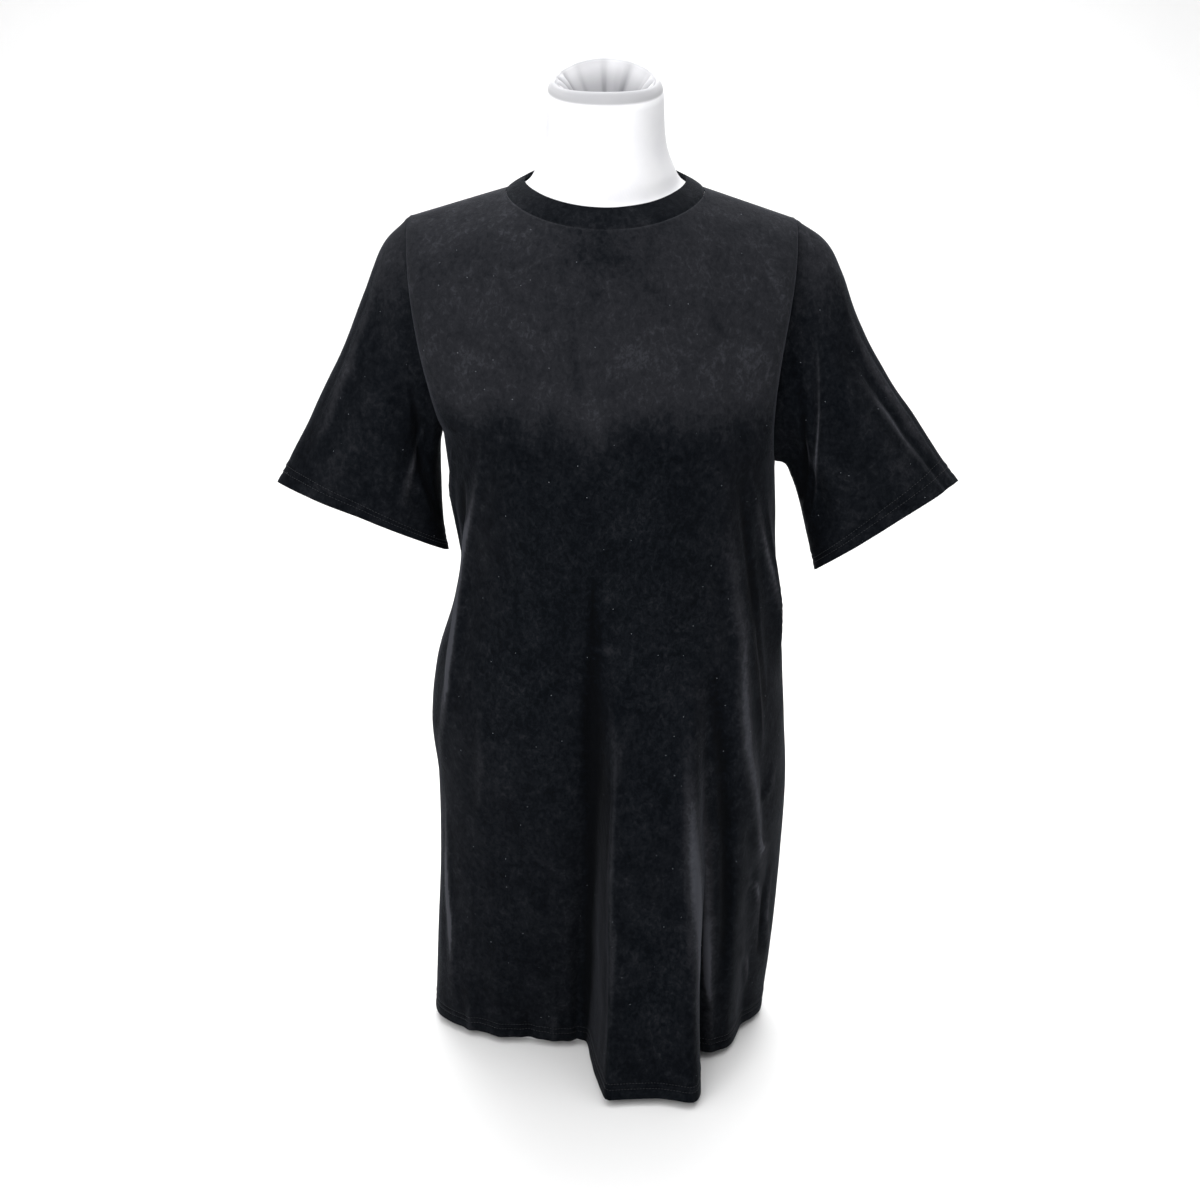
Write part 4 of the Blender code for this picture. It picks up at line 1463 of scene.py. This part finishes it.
@dataclass(frozen=True)
class CapPaintedShade:
    """The cap's painted shade: a grey rim, greyer in front, and painted shade in the funnel, deeper at
    its foot, on the neck's sides and beside each pinch.
    """

    # How strong each painted shade is; pinch is the painted shade beside a pinch for each metre of its depth.
    rim_front: float = 0.58
    rim_back: float = 0.35
    funnel: float = 0.42
    funnel_foot: float = 0.35
    left_side: float = 0.20
    right_side: float = 0.10
    pinch: float = 36.0
    pinch_width: float = 0.07

    def plain(self, ring: Array, across: Array, along: Array) -> Array:
        """Gives the cap's painted shade without its pinches.

        Args:
            ring: each row's place, counted in rings from the neckline.
            across: how far to the wearer's left each column lies, from -1 to 1.
            along: how far back it lies, from -1 to 1.

        Returns:
            The painted shade at each row and column, from 0 to 1.
        """
        front, ring = ease(-along, -0.25, 0.5), ring[:, None]
        rim = ease(ring, 5.1, 0.2) * (1.0 - ease(ring, 6.9, 0.4))
        inner = self.funnel * ease(ring, 6.7, 0.5) + self.funnel_foot * ease(ring, 7.7, 1.3)
        sides = self.left_side * ease(across, 0.1, 0.8) + self.right_side * ease(-across, 0.8, 0.2)
        outside = sides * (1.0 - ease(ring, 4.9, 0.2)) * ease(ring)
        return rim * (self.rim_front * front + self.rim_back * (1.0 - front)) + inner + outside


@dataclass
class FormCover:
    """The limbless torso in its jersey cover, with a neck whose cap is gathered into a funnel."""

    name: str
    body: Body
    rings: tuple[NeckRing, ...]
    gathers: tuple[Gather, ...]
    cap_shade: CapPaintedShade = CapPaintedShade()
    neck_y: float = -0.014
    shoulder_columns: int = 12
    neck_columns: int = 64
    lower_rows: int = 56
    upper_rows: int = 36
    rings_between: int = 7
    gathers_from: float = 6.6
    gathers_over: float = 1.5

    def neck(self, loop: Array) -> tuple[Array, Array]:
        """Works out the neck's fine rings.

        Args:
            loop: the points of the cover's neckline.

        Returns:
            The points, and the painted shade of each.
        """
        turn = np.arctan2(loop[:, 1] - self.neck_y, loop[:, 0])
        across, along = np.cos(turn), np.sin(turn)
        rings = [loop]
        for ring in self.rings:
            depth = ring.half_depth * along
            level = ring.height + ring.slope * depth + ring.bow * along**2
            rings.append(np.stack([ring.half_width * across, self.neck_y + depth, level], axis=-1))
        last = len(rings) - 1
        at = np.linspace(0.0, last, last * self.rings_between + 1)
        points = curve_through(np.arange(last + 1.0), np.array(rings), at)
        inside = ease(at, self.gathers_from, self.gathers_over)[:, None]
        pinch, painted_shade = np.zeros(points.shape[:2]), self.cap_shade.plain(at, across, along)
        for gather in self.gathers:
            off = np.abs((turn - math.radians(gather.turn) + np.pi) % (2 * np.pi) - np.pi)
            half_turn = math.radians(gather.half_turn)
            pinch += gather.depth * ease(1.0 - off / half_turn) * inside
            # Painted shade beside each pinch.
            painted_shade += self.cap_shade.pinch * gather.depth * bell(off - half_turn, self.cap_shade.pinch_width) * inside
        towards = np.stack([-across, -along, np.zeros_like(across)], axis=-1)[None]
        return points + towards * pinch[..., None], np.clip(painted_shade, 0.0, 1.0)

    def build(self, jersey: Material) -> Piece:
        """Builds the cover as one closed piece.

        Args:
            jersey: the cover's cloth.

        Returns:
            The piece.
        """
        low, climbs = np.linspace(0.0, 1.0, self.lower_rows + 1), climbs_up(self.upper_rows)
        shares = shares_across(self.shoulder_columns, self.neck_columns, (0.0,), self.body.shoulder_share)
        front, back = (body_grid(self.body, half, shares, low, climbs)[0] for half in Half)
        back[:len(low), [0, -1]] = front[:len(low), [0, -1]]
        neck = slice(self.shoulder_columns, -self.shoulder_columns)
        rings, painted_shade = self.neck(np.concatenate([front[-1][neck], back[-1][neck][::-1][1:]]))
        rings[:, -1] = rings[:, 0]
        plain, whole = np.zeros(front.shape[:2]), bmesh.new()
        # Only the neck's rings carry painted shade; the front and back carry none.
        for points, cap_shade, flip in ((front, plain, False), (back, plain, True), (rings, painted_shade, False)):
            cloth = np.stack([travelled(points, 1), travelled(points, 0), cap_shade], axis=-1)
            part = grid_mesh(self.name, points, cloth, points is rings, flip)
            whole.from_mesh(part)
            bpy.data.meshes.remove(part)
        bmesh.ops.remove_doubles(whole, verts=whole.verts, dist=10 * MERGE)
        bmesh.ops.holes_fill(whole, edges=[edge for edge in whole.edges if edge.is_boundary], sides=0)
        bmesh.ops.recalc_face_normals(whole, faces=whole.faces)
        bmesh.ops.triangulate(whole, faces=[face for face in whole.faces if len(face.verts) > 4])
        mesh = finished_mesh(self.name, whole)
        mesh.set_sharp_from_angle(angle=math.radians(50))
        piece = add_piece(self.name, mesh, jersey)
        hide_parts("form_torso")
        return piece


@dataclass(frozen=True)
class Studio:
    """A white floor and backdrop, soft light from above, and the camera."""

    camera_place: tuple[float, float, float] = (-0.005, -1.787, 1.05)
    look_down: float = 17.6
    lens: float = 55.95
    floor_half: float = 6.0
    floor_flat_to: float = 2.0
    overhead: float = 80.0
    backdrop: float = 90.0
    front: float = 75.0
    world: float = 0.36

    def build(self) -> None:
        """Adds everything that isn't part of the dress."""
        self.add_floor()
        self.add_light("overhead light", (0.0, -0.5, 3.0), (0.0, 0.0, 0.0), 3.6, self.overhead)
        self.add_light("front light", (-1.3, -3.1, 2.3), (60.0, 0.0, -22.0), 2.2, self.front)
        self.add_light("backdrop light", (0.0, 1.6, 3.0), (-40.0, 0.0, 0.0), 2.4, self.backdrop)
        world = bpy.data.worlds.new("studio")
        world.use_nodes = True
        sky = world.node_tree.nodes["Background"].inputs
        sky["Color"].default_value, sky["Strength"].default_value = (1.0, 1.0, 1.0, 1.0), self.world
        bpy.context.scene.world = world
        camera = in_scene("camera", bpy.data.cameras.new("camera"))
        camera.location = self.camera_place
        camera.rotation_euler = (math.radians(90.0 - self.look_down), 0.0, 0.0)
        camera.data.lens, camera.data.sensor_width = self.lens, 36.0
        bpy.context.scene.camera = camera
        bpy.context.scene.view_settings.view_transform = "Standard"

    def add_floor(self) -> None:
        """Lays a floor that curves up into a backdrop."""
        made = bmesh.new()
        bmesh.ops.create_grid(made, x_segments=1, y_segments=60, size=self.floor_half)
        for vertex in made.verts:
            vertex.co.x *= 2.0
            vertex.co.z = max(0.0, vertex.co.y - self.floor_flat_to) ** 2 * 0.8
        graph = Graph("white_paper", (0.92, 0.92, 0.92), Roughness=0.9)
        grain = graph.cloud(graph.place(), 3.0, 3.0)
        paper = graph.ramp(grain, (0.2, (0.91, 0.91, 0.91)), (0.8, (0.93, 0.93, 0.93)))
        floor = in_scene("floor", finished_mesh("floor", made))
        floor.data.materials.append(graph.finish(Base_Color=paper))

    def add_light(self, name: str, place: tuple, turn: tuple, size: float, power: float) -> None:
        """Hangs a square soft light.

        Args:
            name: the light's name.
            place: where it hangs.
            turn: how it is turned, in degrees.
            size: the length of its sides.
            power: its power in watts.
        """
        lamp = in_scene(name, bpy.data.lights.new(name, "AREA"))
        lamp.data.size, lamp.data.energy = size, power
        lamp.location, lamp.rotation_euler = place, [math.radians(angle) for angle in turn]


# Height, left, right, front, back and widest place in millimetres, and squareness.
DRESS_SECTIONS = from_millimetres(
    Section, 6,
    (9, 184, 171, 50, 112, 30, 2.1),
    (100, 179, 179, 62, 115, 24, 2.2),
    (200, 173, 185, 82, 118, 16, 2.2),
    (300, 172, 187, 102, 120, 8, 2.2),
    (370, 175, 182, 113, 114, 0, 2.3),
    (430, 168, 178, 121, 104, -6, 2.3),
    (490, 150, 173, 128, 94, -10, 2.3),
    (540, 142, 168, 134, 88, -10, 2.3),
    (590, 147, 166, 139, 87, -10, 2.3),
    (640, 155, 165, 143, 89, -10, 2.3),
    (680, 157, 164, 141, 92, -10, 2.3),
)
FORM_SECTIONS = from_millimetres(
    Section, 6,
    (215, 146, 146, 74, 92, 4, 2.1),
    (260, 157, 157, 84, 104, 2, 2.1),
    (310, 160, 162, 90, 108, 0, 2.1),
    (370, 153, 155, 90, 100, -2, 2.1),
    (430, 130, 131, 86, 82, -6, 2.1),
    (490, 116, 116, 88, 70, -10, 2.1),
    (550, 123, 124, 104, 70, -10, 2.1),
    (600, 134, 136, 122, 74, -10, 2.1),
    (640, 141, 144, 131, 77, -10, 2.1),
    (680, 144, 148, 129, 80, -10, 2.1),
)
# Low and high end, place and half width at each, depth and edge in millimetres, and growth.
DRESS_FOLDS = from_millimetres(
    Fold, 8,
    (9, 480, 38, 48, 35, 44, 110, 10, 1.25),
    (9, 400, 60, 80, 6, 8, 10, 14, 1.0),
    (9, 500, 106, 125, 30, 36, 34, 22, 1.0),
    (9, 560, -18, -12, 6, 10, -8, 14, 1.0),
    (400, 628, 206, 172, 4, 4, 12, 17, 0),
    (280, 620, 168, 140, 3, 3, 10, 16, 0),
    (360, 640, -176, -144, 4, 4, 9, 17, 0),
    (9, 160, -112, -112, 6, 6, 6, 14, 1.0),
    (9, 440, 96, 84, 16, 20, 34, 15, 1.2, Half.BACK),
    (9, 380, -6, 0, 14, 16, 26, 15, 1.2, Half.BACK),
    (9, 470, -100, -84, 16, 20, 38, 15, 1.2, Half.BACK),
)

# Outer x and z, inner x and z, depth and near lift in millimetres, and share of the way along.
RIGHT_ARM_SLEEVE = from_millimetres(
    Station, 6,
    (204.5, 844, 160.5, 652, 48, 0, 0.10),
    (228, 795, 161.5, 628, 49, 1, 0.30),
    (252.5, 741, 161.5, 603, 49, 3, 0.50),
    (278, 687, 160.5, 578, 46, 5, 0.70),
    (298.5, 647, 159, 559, 43, 7, 0.85),
    (321, 608, 156.5, 539, 40, 9, 1.00),
)
LEFT_ARM_SLEEVE = from_millimetres(
    Station, 6,
    (203, 845, 174, 627, 48, 0, 0.10),
    (224, 812, 181.5, 613, 50, 1, 0.28),
    (244, 765, 188, 594, 50, 3, 0.48),
    (273.5, 711, 194, 571, 47, 5, 0.68),
    (306.5, 664, 200.5, 546, 43, 8, 0.84),
    (346.5, 609, 208, 518, 38, 11, 1.00),
)
# Depth in millimetres, start and end along the sleeve, quarter turns at each, and half turn.
RIGHT_ARM_CREASES = from_millimetres(
    SleeveCrease, 1,
    (-10, 0.00, 0.80, 1.60, 1.35, 0.30),
    (7, 0.05, 1.50, 0.95, 0.55, 0.28),
    (-7, 0.15, 1.00, 3.10, 3.30, 0.35),
    (3.5, 0.05, 1.00, 0.40, 0.50, 0.16),
    (2.8, 0.10, 0.90, 1.52, 1.28, 0.12),
    (-5, 0.10, 0.80, 1.15, 1.85, 0.16),
    (3, 0.30, 1.40, 2.60, 2.75, 0.14),
)
LEFT_ARM_CREASES = from_millimetres(
    SleeveCrease, 1,
    (-14, 0.00, 0.85, 1.65, 1.55, 0.30),
    (13, 0.10, 1.50, 0.95, 0.55, 0.30),
    (-7, 0.10, 1.00, 3.00, 3.25, 0.35),
    (4, 0.25, 1.10, 0.42, 0.36, 0.15),
    (3, 0.45, 1.05, 0.62, 0.55, 0.12),
    (4, 0.05, 0.80, 0.72, 1.85, 0.12),
    (-5, 0.00, 0.60, 0.95, 1.95, 0.14),
    (3, 0.25, 1.35, 2.55, 2.80, 0.14),
)

# Half width and depth in millimetres, strength of painted light, and the path's places and heights in
# millimetres.
FRONT_CREASES = creases(
    (12, 4, 1.8, -120, 676, -137, 611, -161, 540, -164, 468, -169, 414, -187, 312),
    (10, 3, 1.6, -182, 282, -185, 203, -174, 136, -169, 40),
    (5, 1.5, 1.0, -169, 202, -140, 203),
    (10, 2, 0.6, -123, 420, -127, 338, -134, 260),
    (10, -4, 1.0, -153, 628, -165, 584, -172, 530),
    (7, 4, 1.0, -171, 654, -197, 596, -200, 540),
    (5, 2, 1.0, 10, 450, 12, 350, 11, 236, 13, 163, 12, 70, 13, -20),
    (12, -3, 1.0, -11, 560, -11, 483, -13, 420, -16, 300),
    (18, -2, 3.0, -6, 440, -4, 349, -2, 236, -1, 112, 0, -50),
    (16, 3, 1.1, 74, 442, 75, 325, 76, 191, 77, 89, 77, -30),
    (19, 1, 2.6, 90, 400, 94, 200, 96, -50),
    (10, 3, 0.4, -146, 70, -148, -20),
    (11, -3, 0.4, -83, 50, -80, -20),
    (10, 2, 0.4, -52, 60, -55, -20),
    (7, 3, 1.0, 92, 179, 93, 91, 98, 53),
    (20, 6, 0.95, 106, 668, 120, 579, 128, 525, 135, 479, 134, 426, 138, 356, 156, 271, 166, 210, 162, 134,
     161, 50),
    (8, 3, 1.0, 149, 635, 159, 599, 175, 546, 200, 456),
    (10, -4, 1.0, 133, 633, 146, 552, 153, 471, 167, 370),
    (12, -5, 1.0, 102, 448, 112, 352, 115, 273, 116, 156, 113, 83),
    (7, 3, 1.0, 146, 262, 163, 236, 186, 225),
    (7, 3, 1.0, 141, 205, 158, 190, 166, 160),
    (7, 3, 1.0, 190, 200, 183, 150, 188, 85),
    (6, 2.5, 1.0, 136, 120, 150, 100, 156, 60),
    (6, 2.5, 1.0, 190, 330, 181, 295, 160, 282),
    (8, -3, 1.0, 174, 190, 176, 140, 172, 90),
    (6, 0.8, 1.0, -82, 469, 3, 473, 81, 473, 127, 463),
    (4, -1.5, 1.0, -12, 529, -13, 483),
    (6, -1.2, 1.0, -32, 803, -28, 753, -20, 707),
    (6, -1.2, 1.0, 32, 820, 61, 797),
    (6, -1.2, 1.0, 97, 784, 121, 766),
    (6, -1, 1.0, -37, 710, -12, 670),
)
BACK_CREASES = creases(
    (15, 4, 0.6, 128, 640, 136, 560, 150, 470, 166, 380, 172, 250),
    (17, 4.5, 0.6, -118, 655, -130, 580, -139, 500, -160, 400, -171, 300),
    (20, 4, 0.4, 60, 560, 52, 440, 49, 350, 44, 230, 46, 20),
    (18, 3.5, 0.35, -40, 540, -46, 410, -50, 310, -48, 60),
    (12, -4, 1.0, 140, 420, 142, 300, 137, 160),
    (12, -4, 1.0, -146, 450, -143, 330, -149, 190),
    (10, -3, 1.0, 10, 560, 18, 500, 20, 430),
    (14, -1.5, 1.0, 100, 780, 60, 745, 15, 735),
    (12, -1.5, 1.0, -110, 770, -70, 730),
    (12, 3, 0.5, -160, 190, -166, 80, -160, 0),
    (18, 2.5, 0.3, 75, 720, 84, 600, 80, 500),
    (18, 2, 0.35, -70, 720, -62, 620, -66, 520),
)

# Height, half width, half depth and bow in millimetres, and slope where it isn't the cap's.
NECK_RINGS = from_millimetres(
    NeckRing, 4,
    (896, 71.5, 57.5, 0, 0.28),
    (910, 64, 57, 0, 0.22),
    (926, 58, 56, 0, 0.15),
    (945, 55, 55.5, 0, 0.18),
    (976, 53.5, 55, 3),
    (985, 50.5, 52, 5),
    (987, 46, 47.5, 5),
    (980, 41, 42, 5),
    (962, 27, 28, 5),
    (948, 12, 12, 5),
)
# Depth in millimetres, and turn and half turn in degrees.
FUNNEL_GATHERS = from_millimetres(
    Gather, 1,
    (5, 197, 9), (6, 176, 7), (5, 160, 8), (2, 138, 12), (3.5, 76, 16),
    (1.5, 44, 12), (4, 14, 8), (4, 352, 9), (3, 300, 18), (3, 250, 15),
)


def dress_body() -> Body:
    """Gives the dress's body.

    Returns:
        The body, with its two shoulders, its neckline and its armholes.
    """
    return Body(
        DRESS_SECTIONS, DRESS_FOLDS, Side(-1, 0.1855, 0.864, 0.157, 0.668, 0.004),
        Side(1, 0.1795, 0.862, 0.164, 0.630, 0.012), Vector((0.093, -0.008, 0.891)), 0.046, 0.050, 0.009,
    )


def form_body(dress: Body, inset: float = 0.012, neck_inset: float = 0.004, drop: float = 0.0026) -> Body:
    """Gives the form's body, which lies just under the dress's shoulders.

    Args:
        dress: the dress's body.
        inset: how far the form's shoulders end inside the dress's.
        neck_inset: how far its neckline lies inside the dress's.
        drop: how far its ridge lies under the dress's ridge.

    Returns:
        The form's body.
    """
    neck_x = dress.neck.x - neck_inset
    right_z, left_z, neck_z = (
        float(dress.ridge_height(np.array(x))) - drop
        for x in (inset - dress.right.tip_x, dress.left.tip_x - inset, neck_x)
    )
    right = Side(-1, dress.right.tip_x - inset, right_z, 0.142, 0.668, 0.004)
    left = Side(1, dress.left.tip_x - inset, left_z, 0.145, 0.630, 0.006)
    return Body(FORM_SECTIONS, (), right, left, Vector((neck_x, dress.neck.y, neck_z)), 0.036, 0.038, 0.215)


def make_dress(body: Body) -> DressCloth:
    """Gives the dress with the sizes that its pieces were cut to.

    Args:
        body: the dress's body.

    Returns:
        The dress, not yet built.
    """
    return DressCloth(
        BodyPanel(
            "front_panel_cloth", (0.65, 0.95), 0.445, body, Half.FRONT, FRONT_CREASES,
            lean=(0.006, 0.015, 0.022),
        ),
        BodyPanel(
            "back_panel_cloth", (0.53, 0.935), 0.41, body, Half.BACK, BACK_CREASES,
            chest_light=PaintedChestLight(height=0.70, strength=0.8, shaded_by=0.2),
        ),
        Sleeve(
            "right_arm_sleeve_cloth", (0.51, 0.29), 0.076, body,
            body.right, RIGHT_ARM_SLEEVE, RIGHT_ARM_CREASES,
        ),
        Sleeve(
            "left_arm_sleeve_cloth", (0.54, 0.31), 0.083, body,
            body.left, LEFT_ARM_SLEEVE, LEFT_ARM_CREASES,
        ),
        Neckband("neckband_cloth", (0.50, 0.021), 0.0100, body),
    )


def main() -> None:
    """Builds the dress, its form and the studio."""
    logging.basicConfig(level=logging.INFO, format="%(name)s: %(message)s")
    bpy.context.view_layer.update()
    body = dress_body()
    make_dress(body).build(Velour().build(), Thread().build())
    FormCover("form_cover", form_body(body), NECK_RINGS, FUNNEL_GATHERS).build(Jersey().build())
    enamel = Enamel().build()
    for name in ("form_pole", "form_base"):
        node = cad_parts[name]
        node.data.materials.clear()
        node.data.materials.append(enamel)
    Studio().build()


if __name__ == "__main__":
    main()
